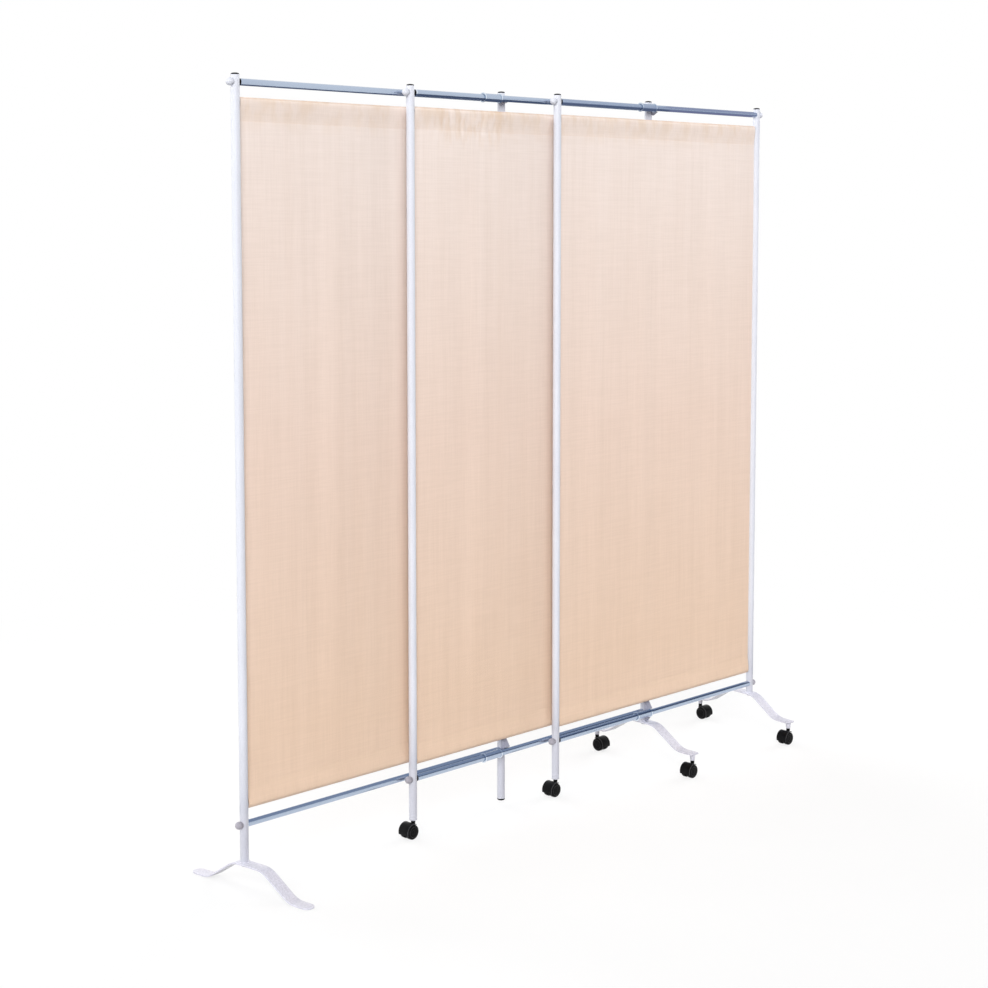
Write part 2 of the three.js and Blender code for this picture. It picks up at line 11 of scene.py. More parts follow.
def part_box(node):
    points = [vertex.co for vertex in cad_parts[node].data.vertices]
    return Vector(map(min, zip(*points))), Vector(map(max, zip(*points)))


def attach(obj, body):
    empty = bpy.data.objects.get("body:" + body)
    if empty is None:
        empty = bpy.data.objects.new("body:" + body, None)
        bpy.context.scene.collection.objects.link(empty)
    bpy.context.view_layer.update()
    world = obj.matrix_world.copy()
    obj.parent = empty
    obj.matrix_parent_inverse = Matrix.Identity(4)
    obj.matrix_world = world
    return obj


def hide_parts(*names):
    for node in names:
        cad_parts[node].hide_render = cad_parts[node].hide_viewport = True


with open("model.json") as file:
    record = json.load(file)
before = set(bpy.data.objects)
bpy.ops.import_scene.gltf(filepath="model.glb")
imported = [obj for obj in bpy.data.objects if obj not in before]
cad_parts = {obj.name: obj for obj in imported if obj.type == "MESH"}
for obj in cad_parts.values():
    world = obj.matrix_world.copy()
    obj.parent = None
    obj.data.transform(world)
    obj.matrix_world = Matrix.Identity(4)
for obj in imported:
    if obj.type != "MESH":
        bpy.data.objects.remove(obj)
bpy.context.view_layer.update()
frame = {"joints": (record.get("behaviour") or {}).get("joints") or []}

# Frame and tubes
POST_RADIUS = 0.0095
POST_WALL = 0.0014
RAIL_RADIUS = 0.0075
RAIL_WALL = 0.0013
RAIL_SINK = 0.001
ROD_RADIUS = 0.003
SEATING = 0.0002

# Roundings, from the finest to the softest
FINE_EDGE = 0.0002
WASHER_EDGE = 0.0003
EDGE = 0.0004
RIVET_EDGE = 0.0005
CAST_EDGE = 0.0006
HOOD_EDGE = 0.0007
MOULD_EDGE = 0.0008
PLATE_EDGE = 0.0009

# Crimps near the lower ends of two posts
CRIMPED_POSTS = ("post_b_left", "post_c_left")
CRIMP_HEIGHTS = (0.007, 0.0145)
CRIMP_SECTION = ((0, -0.0012), (-0.0004, -0.0005), (-0.0004, 0.0005), (0, 0.0012))

# Dome caps, end plugs and the rubber tip
DOME_RADIUS = 0.0085
DOME_OUT = 0.0145
DOME_START_DEG = -38
DOME_STEPS = 14
COLLAR_RADIUS = 0.0078
COLLAR_END_RADIUS = 0.0062
COLLAR_SINK = 0.0035
COLLAR_BEVEL = 0.0005
CAP_OVERLAP = 0.001
PLUG_PLAY = 0.0003
PLUG_RADIUS = POST_RADIUS - POST_WALL - PLUG_PLAY
PLUG_INSET = 0.0006
PLUG_LIFT = 0.0001
PLUG_RIM = 0.0012
PLUG_STEPS = 8
TIP_CHAMFER = 0.0022
TIP_CHAMFER_HEIGHT = 0.0018

# Fittings on the rails
WASHER_LENGTH = 0.0015
WASHER_RADIUS = 0.0079
STOP_END = 0.0125
STOP_RING = 0.0042
STOP_PROUD = 0.0003
GUIDE_LENGTH = 0.058
GUIDE_BORE = 0.0079
GUIDE_WALL = 0.0018
FLANGE_RADIUS = 0.0115
FLANGE_THICK = 0.003
STRAP_LENGTH = 0.034
STRAP_HALF_HEIGHT = 0.006
STRAP_SINK = 0.0004
STRAP_GAP = 0.001
RIVET_SHARES = (0.25, 0.75)
RIVET_SECTION = ((0, -0.001), (0.0024, -0.001), (0.0022, 0.0006), (0.0010, 0.0012), (0, 0.0012))
GUSSET_SINK = 0.0006
GUSSET_BACK = 0.006
GUSSET_FRONT = 0.004
GUSSET_HAUNCH_SHARES = (0.5, 0.87)
# For each wedge its side, down or up, its reach on the post, its half width and its shift along X
GUSSETS = {
    "guide_a_top": ((-1, 0.016, 0.004, -0.012),),
    "guide_b_top": ((-1, 0.018, 0.006, 0.006),),
    "guide_a_bottom": ((1, 0.031, 0.0082, 0),),
    "guide_b_bottom": ((1, 0.031, 0.0082, 0), (-1, 0.027, 0.006, 0)),
}

# Feet
BAR_HALF_WIDTH = 0.015
BAR_THICK = 0.004
BAR_DROP = 0.052
BAR_BEND = 0.06
BAR_SPACING = 0.006
TIP_RUN = 0.0006
TIP_HALF_WIDTH = 0.0006
TIP_THINNING = 0.0007
PLATEAU_LENGTH = 0.09
FLAT_SPACING = 0.256
TROLLEY_CORNER = 0.005
STAND_LENGTH = 0.37
TROLLEY_LENGTH = 0.366
STEM_SPACING = 0.346
FOOT_TURNS_DEG = {"a": 3.4, "b": -3.9, "c": -8.4}
SOCKET_LENGTH = 0.016
SOCKET_TOP_RADIUS = 0.0075
SOCKET_END_RADIUS = 0.00575
SOCKET_SINK = 0.0005
SOCKET_LID = ((0, -0.0004), (0.0052, -0.0004), (0.0048, 0.0002), (0, 0.0005))
WELD = ((-0.001, -0.0002), (0.0016, -0.0002), (0.0008, 0.0006), (0.0001, 0.0018), (-0.001, 0.0018))
HEX_ANGLES = [tau * side / 6 for side in range(6)]
HEX_RADIUS = 0.0075
HEX_CHAMFER = 0.0012
HEX_CHAMFER_HEIGHT = 0.0009
BOLT_WASHER_RADIUS = 0.0072
BOLT_WASHER_THICK = 0.0007

# Curtains
CLOTH_SIDE_HEM = 0.016
CLOTH_HEM = 0.051
CLOTH_TURN = 0.0005
COLUMN_SPACING = 0.0034
ROW_SPACING = 0.016
FINE_ROW_SPACING = 0.0012
HEM_ROW_SPACING = 0.0022
ROD_CLEARANCE = 0.0009
FOLD_DEPTH = 0.0011
FOLD_WAVES = (5, 8)
FOLD_DEPTH_SHARES = (0.62, 0.38)
FOLD_PHASES = {"a": 0.05, "b": 0.41, "c": 0.73}
FOLD_DRIFT = 0.01
HELD_SHARE = 0.14
HOLD_START = 0.02
HOLD_REACH = 0.24
RIPPLES = ((21, 0.9, 0.00024), (58, 1.3, 0.00009))
PUCKER_DEPTH = 0.0008
DENT_DEPTH = 0.00045
SEAM_WIDTH = 0.0016
PUCKER_WIDTH = 0.018
ROD_WIDTH = 0.011
GATHER_DEPTH = 0.0026
GATHER_PITCH = 0.021
GATHERS = {"a": (0.10, 0.24, 0.35), "b": (0.08, 0.37, 1.0), "c": (0.30, 0.46, 0.3)}
STITCH_PITCH = 0.0036
STITCH_SHARE = 0.68
STITCH_RADIUS = 0.00019
STITCH_INSET = 0.002
SEAM_INSET = 0.0018
# Heights over which the cloth's painted light runs from the darker bottom to the lighter top
PAINTED_LIGHT_HEIGHTS = (0.17, 1.7)
# Heights and span along X of the painted shade in the top hem's creases and the painted light and shade on
# its gathers
CREASE_SHADE_HEIGHTS = (1.62, 1.69)
GATHER_SHADING_HEIGHTS = (1.60, 1.66)
GATHER_SHADING_SPAN = (-0.33, -0.10)
GATHER_SHADING_BLEND = 0.02
FOLD_LINE = 0.0035
# Painted shade: the doubled hems darker because less light shines through two layers, and a darker line
# along the top fold
TOP_HEM_SHADE = (0.985, 0.968, 0.948)
LOW_HEM_SHADE = (0.985, 0.985, 0.98)
FOLD_LINE_SHADE = (0.92, 0.88, 0.84)

# Casters
CASTERS = ("b_left", "c_left", "b_front", "b_back", "c_front", "c_back")
TREAD_RADIUS = 0.018
WHEEL_INNER = 0.0036
WHEEL_OUTER = 0.0165
WHEEL_BORE = 0.0028
HUB_THICK = 0.0035
# Tread and shoulder: how far inside the wheel's radius, and how far out from the caster's middle
TREAD_SECTION = ((0.0014, 0.0036), (0, 0.005), (0, 0.013), (0.0012, 0.0148), (0.003, 0.0153))
FACE_SECTION = ((0.0128, 0.0004), (0.0118, 0.0003), (0.0112, 0.0012), (0.0104, 0.0012), (0.0098, 0.0002),
                (0.0060, 0), (0.0054, 0.0008), (0.0048, 0.0008), (0.0043, 0.0001), (0, 0))
RING_RADII = (0.0119, 0.0126)
RING_DEPTHS = (0.0008, 0.0001)
HOOD_GAP = 0.0005
HOOD_THICK = 0.0014
HOOD_HALF_WIDTH = 0.0158
HOOD_START_DEG = 62
HOOD_END_DEG = 198
HOOD_STEPS = 22
LIP_HALF = 0.0007
LIP_PROUD = 0.0002
WEB_HALF = 0.003
WEB_RADIUS = 0.0142
RIB_INNER_RADIUS = 0.004
AXLE_RADIUS = 0.0025
AXLE_INSET = 0.0034
NECK_RADIUS = 0.00525
NECK_LENGTH = 0.006
NECK_GAP = 0.0003
NECK_PLATE_HALF = 0.0045
NECK_PLATE_LENGTH = 0.016
STEM_RADIUS = 0.004
STEM_SINK = 0.004
STEM_PLAY = 0.0003

# Colours that several materials share, and the cloth's tones from the bottom up: painted light, darker and
# warmer at the bottom, lighter and pinker towards the top
WHITE = (1, 1, 1)
# Painted shade: the powder coat darker towards the floor, below these heights
FLOOR_SHADE_TINT = (0.79, 0.78, 0.80)
FLOOR_SHADE_HEIGHTS = (0.10, 0.36)
CLOTH_PAINTED_LIGHT_TONES = ((0.1, (0.83, 0.622, 0.478)), (0.5, (0.866, 0.682, 0.580)), (0.95, (0.925, 0.806, 0.748)))
# Slubs, cloudy places, warp and weft: the noise's scale, detail and stretch, and its darker tint
CLOTH_PATTERNS = (
    (42, 3, (1, 1, 0.02), (0.975, 0.968, 0.96)),
    (5, 3, (1, 1, 0.5), (0.985, 0.98, 0.975)),
    (320, 2, (1, 1, 0.03), (0.968, 0.965, 0.96)),
    (320, 2, (0.03, 1, 1), (0.968, 0.965, 0.96)),
)

# Studio
FLOOR_HALF = 40
WORLD_LIGHT = 0.24
FLOOR_GLOW = 0.75
FLOOR_BOUNCE = 0.5
FLOOR_NEAR = 1.0
FLOOR_FAR = 2.8
LOW_STRIP_HEIGHT = 0.166
HIGH_STRIP_HEIGHT = 1.712
OVER_STRIP_HEIGHT = 1.76
# Each card's start and end along X, its near and far edge, its height and its colour
STRIPS = {
    "low_strip": (-4.0, 4.0, -0.028, 0.068, LOW_STRIP_HEIGHT, (0.34, 0.39, 0.49)),
    "low_strip_front": (-0.40, 4.0, -0.075, -0.028, LOW_STRIP_HEIGHT, (0.08, 0.11, 0.18)),
    "high_strip_a": (-1.2, -0.40, 0.015, 0.060, HIGH_STRIP_HEIGHT, (0.12, 0.145, 0.21)),
    "high_strip_b": (-0.40, 0.075, -0.030, 0.035, HIGH_STRIP_HEIGHT, (0.12, 0.145, 0.21)),
    "high_strip_c": (0.075, 0.52, -0.058, 0.010, HIGH_STRIP_HEIGHT, (0.16, 0.19, 0.27)),
    "high_strip_c_far": (0.52, 1.2, -0.058, 0.010, HIGH_STRIP_HEIGHT, (0.30, 0.30, 0.42)),
    "front_strip_c": (0.075, 1.2, -0.30, -0.058, HIGH_STRIP_HEIGHT, (0.42, 0.46, 0.58)),
    "over_strip_c": (0.10, 0.52, -0.30, -0.003, OVER_STRIP_HEIGHT, (0.70, 0.73, 0.80)),
    "over_strip_c_far": (0.52, 1.2, -0.30, -0.003, OVER_STRIP_HEIGHT, (0.50, 0.51, 0.62)),
}
# Each light's angle to the left of straight ahead, its height and spread, and its strength
SOFT_SUNS = {
    "key": (50, 26, 36, 2.8),
    "front": (0, 30, 40, 0.30),
    "right": (-92, 20, 40, 2.8),
    "left_back": (125, 20, 40, 1.2),
    "back": (185, 28, 40, 1.7),
}
SUN_DISTANCE = 6

# Camera, as fitted to the photograph
CAMERA_AT = (-3.4381, -3.1357, 1.4411)
CAMERA_YAW_DEG = 43.48
CAMERA_PITCH_DEG = 5.24
CAMERA_SHIFT = -0.10
SENSOR_WIDTH = 36
VIEW_DEPTH = 200
IMAGE_SIZE = 988
FOCAL_PIXELS = 1904.7

ROUND = 56
SMALL_ROUND = 32
FINE_ROUND = 20
AXLE_ROUND = 24
PANELS = ("a", "b", "c")
SIDES = (("left", -1), ("right", 1))
LEVELS = ("top", "bottom")


# Materials
def new_material(name):
    material = bpy.data.materials.new(name)
    material.use_nodes = True
    tree = material.node_tree
    shader = tree.nodes["Principled BSDF"]
    return material, tree, shader


def add_node(tree, kind, **sockets):
    node = tree.nodes.new(kind)
    for name, value in sockets.items():
        node.inputs[name.replace("_", " ")].default_value = value
    return node


def feed(source, node, socket):
    """Links an output to an input of a node."""
    node.id_data.links.new(source, node.inputs[socket])


def own_place(tree):
    """Where a point lies in the row frame's own coordinates."""
    return tree.nodes.new("ShaderNodeTexCoord").outputs["Object"]


def place_along(tree, axis):
    axes = tree.nodes.new("ShaderNodeSeparateXYZ")
    feed(own_place(tree), axes, "Vector")
    return axes.outputs[axis]


def noise_at(tree, scale, detail=3.0, stretch=(1, 1, 1), roughness=0.5):
    """A noise in the row frame's own coordinates, scaled along each axis."""
    mapping = add_node(tree, "ShaderNodeMapping", Scale=stretch)
    texture = add_node(tree, "ShaderNodeTexNoise", Scale=scale, Detail=detail, Roughness=roughness)
    feed(own_place(tree), mapping, "Vector")
    feed(mapping.outputs["Vector"], texture, "Vector")
    return texture.outputs["Fac"]


def ramp(tree, source, stops):
    """Colours or grey values between shares of a source value."""
    node = tree.nodes.new("ShaderNodeValToRGB")
    elements = node.color_ramp.elements
    while len(elements) < len(stops):
        elements.new(0.5)
    for element, (share, colour) in zip(elements, stops):
        element.position = share
        element.color = (*colour, 1)
    feed(source, node, "Fac")
    return node.outputs["Color"]


def span(tree, source, low, high):
    node = add_node(tree, "ShaderNodeMapRange", To_Min=low, To_Max=high)
    feed(source, node, "Value")
    return node.outputs["Result"]


def axis_share(tree, axis, start, end):
    """0 up to one place along an axis of the row frame, and 1 from another on."""
    share = add_node(tree, "ShaderNodeMapRange", From_Min=start, From_Max=end)
    feed(place_along(tree, axis), share, "Value")
    return share.outputs["Result"]


def combined(tree, operation, first, second):
    """A value and a second one, or a plain number, put through a Math operation."""
    node = tree.nodes.new("ShaderNodeMath")
    node.operation = operation
    feed(first, node, 0)
    if isinstance(second, float):
        node.inputs[1].default_value = second
    else:
        feed(second, node, 1)
    return node.outputs["Value"]


def multiply(tree, first, second, share=None):
    """One colour times another, socket or plain, all over or by a share."""
    node = tree.nodes.new("ShaderNodeMix")
    node.data_type = "RGBA"
    node.blend_type = "MULTIPLY"
    first_socket, second_socket = (socket for socket in node.inputs if socket.type == "RGBA")
    tree.links.new(first, first_socket)
    if isinstance(second, tuple):
        second_socket.default_value = (*second, 1)
    else:
        tree.links.new(second, second_socket)
    if share is None:
        node.inputs["Factor"].default_value = 1
    else:
        feed(share, node, "Factor")
    return next(socket for socket in node.outputs if socket.type == "RGBA")


def bump(tree, shader, height, distance, strength):
    node = add_node(tree, "ShaderNodeBump", Strength=strength, Distance=distance)
    feed(height, node, "Height")
    feed(node.outputs["Normal"], shader, "Normal")


def paint_material(name, colour, light, fleck=0.94, grain=420):
    """Gloss white powder coat: slight orange peel, the faintest change of tone, and painted shade that
    darkens it near the floor.
    """
    material, tree, shader = new_material(name)
    peel = noise_at(tree, grain, 2)
    speckle = ramp(tree, peel, ((0.35, (fleck, fleck, fleck + 0.01)), (0.6, WHITE)))
    colour = multiply(tree, ramp(tree, noise_at(tree, 9, 2), ((0.3, colour), (0.7, light))), speckle)
    # Painted shade: darker towards the floor
    painted_floor_shade = ramp(tree, axis_share(tree, "Z", *FLOOR_SHADE_HEIGHTS), ((0.0, FLOOR_SHADE_TINT), (1.0, WHITE)))
    feed(multiply(tree, colour, painted_floor_shade), shader, "Base Color")
    feed(span(tree, peel, 0.28, 0.42), shader, "Roughness")
    bump(tree, shader, peel, 0.0004, 0.16)
    shader.inputs["Coat Weight"].default_value = 0.25
    shader.inputs["Coat Roughness"].default_value = 0.12
    return material


def plated_material(name, colour, light, roughness):
    """Bright plated tube: drawing lines along X and small changes of gloss."""
    material, tree, shader = new_material(name)
    shader.inputs["Metallic"].default_value = 1
    tone = noise_at(tree, 14, 3, (0.15, 1, 1))
    feed(ramp(tree, tone, ((0.3, colour), (0.75, light))), shader, "Base Color")
    lines = noise_at(tree, 900, 2, (0.02, 1, 1))
    feed(span(tree, lines, *roughness), shader, "Roughness")
    bump(tree, shader, lines, 0.0001, 0.06)
    return material


def plastic_material(name, colour, roughness, grain):
    """Moulded black plastic or rubber with a fine grain and dusty, slightly rubbed places."""
    material, tree, shader = new_material(name)
    dust = noise_at(tree, 60, 4)
    light = tuple(channel * 1.6 + 0.002 for channel in colour)
    feed(ramp(tree, dust, ((0.42, colour), (0.8, light))), shader, "Base Color")
    feed(span(tree, dust, roughness - 0.08, roughness + 0.12), shader, "Roughness")
    bump(tree, shader, noise_at(tree, grain, 2), 0.0002, 0.12)
    shader.inputs["Specular IOR Level"].default_value = 0.08
    return material


def zinc_material():
    material, tree, shader = new_material("zinc_steel")
    shader.inputs["Metallic"].default_value = 0.9
    spangle = add_node(tree, "ShaderNodeTexVoronoi", Scale=600)
    feed(own_place(tree), spangle, "Vector")
    stops = ((0.0, (0.5, 0.51, 0.54)), (0.8, (0.66, 0.67, 0.7)))
    feed(ramp(tree, spangle.outputs["Distance"], stops), shader, "Base Color")
    feed(span(tree, spangle.outputs["Distance"], 0.3, 0.45), shader, "Roughness")
    return material


def cloth_material():
    """Pale peach ward curtain: plain weave, soft lengthwise slubs, and painted shade and highlights of the
    creases and gathers in the top hem.
    """
    material, tree, shader = new_material("peach_cloth")
    # Painted light: the cloth lighter towards the top, darker and warmer towards the bottom
    colour = ramp(tree, axis_share(tree, "Z", *PAINTED_LIGHT_HEIGHTS), CLOTH_PAINTED_LIGHT_TONES)
    for scale, detail, stretch, tint in CLOTH_PATTERNS:
        pattern = noise_at(tree, scale, detail, stretch)
        colour = multiply(tree, colour, ramp(tree, pattern, ((0.35, tint), (0.65, WHITE))))
    # Painted shade in the creases of the top hem
    crease_shade_noise = noise_at(tree, 30, 2, (1, 1, 0.5), 0.6)
    painted_crease_shade = ramp(tree, crease_shade_noise, ((0.44, WHITE), (0.60, (0.96, 0.925, 0.87))))
    colour = multiply(tree, colour, painted_crease_shade, axis_share(tree, "Z", *CREASE_SHADE_HEIGHTS))
    # Painted light and shade on the gathered cloth of the top hem: darker and lighter streaks
    start, end = GATHER_SHADING_SPAN
    in_gather_shading = axis_share(tree, "Z", *GATHER_SHADING_HEIGHTS)
    for blend in ((start - GATHER_SHADING_BLEND, start + GATHER_SHADING_BLEND), (end + GATHER_SHADING_BLEND, end - GATHER_SHADING_BLEND)):
        in_gather_shading = combined(tree, "MULTIPLY", in_gather_shading, axis_share(tree, "X", *blend))
    gather_shading_noise = noise_at(tree, 46, 2, (1, 1, 0.3), 0.6)
    stops = ((0.40, (0.955, 0.915, 0.86)), (0.50, WHITE), (0.60, (1.05, 1.06, 1.07)))
    colour = multiply(tree, colour, ramp(tree, gather_shading_noise, stops), in_gather_shading)
    low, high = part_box("curtain_a")
    # Painted shade on the doubled hems and along the top fold
    for seam, operation, tint in ((high.z - CLOTH_HEM, "GREATER_THAN", TOP_HEM_SHADE),
                                  (low.z + CLOTH_HEM, "LESS_THAN", LOW_HEM_SHADE),
                                  (high.z - FOLD_LINE, "GREATER_THAN", FOLD_LINE_SHADE)):
        beyond = combined(tree, operation, place_along(tree, "Z"), seam)
        colour = multiply(tree, colour, tint, beyond)
    feed(colour, shader, "Base Color")
    shader.inputs["Roughness"].default_value = 0.9
    shader.inputs["Specular IOR Level"].default_value = 0.15
    shader.inputs["Sheen Weight"].default_value = 0.12
    shader.inputs["Sheen Roughness"].default_value = 0.5
    threads = []
    for direction in ("X", "Z"):
        wave = add_node(tree, "ShaderNodeTexWave", Scale=520, Distortion=0.4, Detail=1)
        wave.bands_direction = direction
        feed(own_place(tree), wave, "Vector")
        threads.append(wave.outputs["Fac"])
    bump(tree, shader, combined(tree, "ADD", *threads), 0.0002, 0.25)
    return material


def thread_material():
    material, tree, shader = new_material("sewing_thread")
    stops = ((0.3, (0.74, 0.56, 0.44)), (0.7, (0.82, 0.66, 0.54)))
    feed(ramp(tree, noise_at(tree, 300, 2), stops), shader, "Base Color")
    shader.inputs["Roughness"].default_value = 0.8
    return material


PAINT = paint_material("white_powder_coat", (0.66, 0.675, 0.74), (0.69, 0.705, 0.77))
FOOT_PAINT = paint_material("foot_powder_coat", (0.80, 0.805, 0.89), (0.84, 0.845, 0.93), 0.80, 270)
# Painted shade: the lower dome caps in a darker grey than the upper caps, which share the post's white paint
SHADED_CAP_PAINT = paint_material("lower_cap_painted_shade", (0.40, 0.385, 0.43), (0.44, 0.425, 0.47))
BRACKET = paint_material("bracket_paint", (0.34, 0.35, 0.43), (0.40, 0.41, 0.50), 0.85)
CHROME = plated_material("plated_tube", (0.44, 0.515, 0.645), (0.50, 0.58, 0.71), (0.17, 0.3))
FLANGE = plated_material("plated_flange", (0.66, 0.74, 0.84), (0.76, 0.83, 0.91), (0.14, 0.24))
BLACK = plastic_material("black_nylon", (0.003, 0.003, 0.0034), 0.32, 700)
# Painted highlight: a lighter black for the hood's edge lips and the rings in the wheel faces, standing in
# for the light they catch
HIGHLIGHT_NYLON = plastic_material("painted_highlight_nylon", (0.04, 0.04, 0.043), 0.34, 700)
RUBBER = plastic_material("black_rubber", (0.005, 0.005, 0.0055), 0.6, 900)
ZINC = zinc_material()
CLOTH = cloth_material()
THREAD = thread_material()


# Mesh helpers
def new_object(name, data):
    thing = bpy.data.objects.new(name, data)
    bpy.context.scene.collection.objects.link(thing)
    return thing


def add_piece(name, verts, faces, material, body, slot, replaced=(), sharp_deg=35):
    """A smooth-shaded mesh piece that rides on a body, and stands for CAD nodes if it names some."""
    mesh = bpy.data.meshes.new(name)
    mesh.from_pydata([tuple(v) for v in verts], [], faces)
    shape = bmesh.new()
    shape.from_mesh(mesh)
    bmesh.ops.remove_doubles(shape, verts=shape.verts, dist=1e-7)
    bmesh.ops.recalc_face_normals(shape, faces=shape.faces)
    shape.to_mesh(mesh)
    shape.free()
    for polygon in mesh.polygons:
        polygon.use_smooth = True
    mesh.set_sharp_from_angle(angle=radians(sharp_deg))
    mesh.materials.append(material)
    piece = new_object(name, mesh)
    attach(piece, body)
    if replaced:
        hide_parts(*replaced)
    return piece


def joined(*parts):
    """Several (verts, faces) as one."""
    verts, faces = [], []
    for part_verts, part_faces in parts:
        start = len(verts)
        verts += part_verts
        faces += [tuple(start + i for i in face) for face in part_faces]
    return verts, faces


def rounded(profile, radius, steps=3, closed=False):
    """A profile of (radius, height) points with its inner corners rounded off."""
    points = [Vector(p) for p in profile]
    count = len(points)
    result = []
    for i, corner in enumerate(points):
        if not closed and i in (0, count - 1):
            result.append(tuple(corner))
            continue
        before, after = points[i - 1] - corner, points[(i + 1) % count] - corner
        reach = min(radius, before.length * 0.45, after.length * 0.45)
        start = corner + before.normalized() * reach
        end = corner + after.normalized() * reach
        for step in range(steps + 1):
            t = step / steps
            place = start * (1 - t) ** 2 + corner * (2 * t * (1 - t)) + end * t**2
            result.append(tuple(place))
    return result


def revolved(profile, segments=ROUND, closed=False, start=0.0, turn=2 * pi):
    """A profile of (radius, height) turned about Z. A full turn meets itself."""
    full = abs(turn - 2 * pi) < 1e-9
    rings = segments if full else segments + 1
    count = len(profile)
    verts = []
    for k in range(rings):
        angle = start + turn * k / segments
        cosine, sine = cos(angle), sin(angle)
        verts += [Vector((r * cosine, r * sine, h)) for r, h in profile]
    faces = []
    last = count if closed else count - 1
    for k in range(segments):
        here, there = k * count, ((k + 1) % rings) * count
        for i in range(last):
            j = (i + 1) % count
            quad = [here + i, there + i, there + j, here + j]
            if profile[i][0] < 1e-9:
                quad.remove(there + i)
            if profile[j][0] < 1e-9:
                quad.remove(there + j)
            if len(quad) > 2:
                faces.append(tuple(quad))
    if not full:
        faces += [tuple(range(count)), tuple((rings - 1) * count + i for i in reversed(range(count)))]
    return verts, faces


def lathe(section, radius, steps=2, segments=ROUND, closed=False):
    """A half section with its corners rounded off, turned about Z."""
    return revolved(rounded(section, radius, steps, closed), segments, closed)


def solid(radius, start, end):
    """The half section of a plain round bar, in (radius, height)."""
    return [(0, start), (radius, start), (radius, end), (0, end)]


def hollow(inner, outer, start, end):
    """The section of a ring or a tube, in (radius, height)."""
    return [(inner, start), (outer, start), (outer, end), (inner, end)]


def lofted(sections):
    """Sections of equally many points as one skin, with both ends closed."""
    size = len(sections[0])
    verts = [point for section in sections for point in section]
    last = len(verts) - size
    faces = [tuple(range(size)), tuple(last + i for i in reversed(range(size)))]
    for start in range(0, last, size):
        for i in range(size):
            j = (i + 1) % size
            faces.append((start + i, start + j, start + size + j, start + size + i))
    return verts, faces


def placed(part, matrix):
    verts, faces = part
    return [matrix @ v for v in verts], faces


ALONG_X = Matrix(((0, 0, 1), (0, 1, 0), (-1, 0, 0))).to_4x4()
ALONG_Y = Matrix(((1, 0, 0), (0, 0, 1), (0, -1, 0))).to_4x4()
ROUND_AXLE = Matrix(((1, 0, 0), (0, 0, -1), (0, 1, 0))).to_4x4()


def at(x, y, z, turn=None):
    move = Matrix.Translation((x, y, z))
    return move @ turn if turn else move


# Places that come from the frame
joints = {joint["name"]: joint for joint in frame["joints"]}


def middle(node):
    low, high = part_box(node)
    return (low + high) / 2


def post_axis(panel, side):
    return middle(f"end_plug_{panel}_{side}").xy


def rail_height(panel, level):
    return middle(f"rail_{panel}_{level}").z


# Posts with dome caps, and the plugs in their ends
def dome_cap(x, y, height, outward):
    """A turned cap on a post's outer side, in line with a rail."""
    start = radians(DOME_START_DEG)
    sink = POST_RADIUS - COLLAR_SINK
    section = [(0.0, sink), (COLLAR_END_RADIUS, sink), (COLLAR_RADIUS, sink + COLLAR_BEVEL),
               (COLLAR_RADIUS, POST_RADIUS + SEATING)]
    for step in range(DOME_STEPS):
        angle = start + (pi / 2 - start) * step / DOME_STEPS
        section.append((DOME_RADIUS * cos(angle), DOME_OUT + DOME_RADIUS * sin(angle)))
    section.append((0.0, DOME_OUT + DOME_RADIUS))
    turn = Matrix.Rotation(outward * pi / 2, 4, "Y")
    return placed(revolved(section, SMALL_ROUND), at(x, y, height, turn))


def make_post(panel, side, outward):
    node = f"post_{panel}_{side}"
    low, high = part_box(node)
    x, y = post_axis(panel, side)
    top = high.z - CAP_OVERLAP
    inner = POST_RADIUS - POST_WALL
    section = [(inner, low.z), (POST_RADIUS, low.z)]
    for height in CRIMP_HEIGHTS if node in CRIMPED_POSTS else ():
        section += [(POST_RADIUS + out, low.z + height + up) for out, up in CRIMP_SECTION]
    section += [(POST_RADIUS, top), (inner, top)]
    tube = placed(lathe(section, EDGE, closed=True), at(x, y, 0))
    upper, lower = (dome_cap(x, y, rail_height(panel, level), outward) for level in LEVELS)
    add_piece(f"{node}_tube", *joined(tube, upper), PAINT, f"panel_{panel}", "post_paint", [node])
    # The lower cap gets the darker grey paint, a painted shade
    add_piece(f"{node}_lower_cap", *lower, SHADED_CAP_PAINT, f"panel_{panel}", "post_paint")


def make_plug(panel, side):
    node = f"end_plug_{panel}_{side}"
    low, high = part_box(node)
    x, y = post_axis(panel, side)
    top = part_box(f"post_{panel}_{side}")[1].z - CAP_OVERLAP
    rim = POST_RADIUS - PLUG_INSET
    dome_base = top + PLUG_RIM
    section = [(0, low.z), (PLUG_RADIUS, low.z), (PLUG_RADIUS, top), (rim, top + PLUG_LIFT)]
    for step in range(PLUG_STEPS):
        angle = pi / 2 * step / PLUG_STEPS
        section.append((rim * cos(angle), dome_base + (high.z - dome_base) * sin(angle)))
    section.append((0, high.z))
    part = placed(lathe(section, MOULD_EDGE, 3, SMALL_ROUND), at(x, y, 0))
    add_piece(f"{node}_cap", *part, BLACK, f"panel_{panel}", "end_plug", [node])


def make_tip():
    node = "tip_a_right"
    low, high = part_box(node)
    x, y = middle(node).xy
    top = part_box("post_a_right")[0].z
    section = [(0, low.z), (POST_RADIUS - TIP_CHAMFER, low.z), (POST_RADIUS, low.z + TIP_CHAMFER_HEIGHT),
               (POST_RADIUS, top - PLUG_PLAY), (PLUG_RADIUS, top), (PLUG_RADIUS, high.z), (0, high.z)]
    part = placed(lathe(section, PLATE_EDGE, 3, SMALL_ROUND), at(x, y, 0))
    add_piece(f"{node}_rubber", *part, RUBBER, "panel_a", "tip", [node])


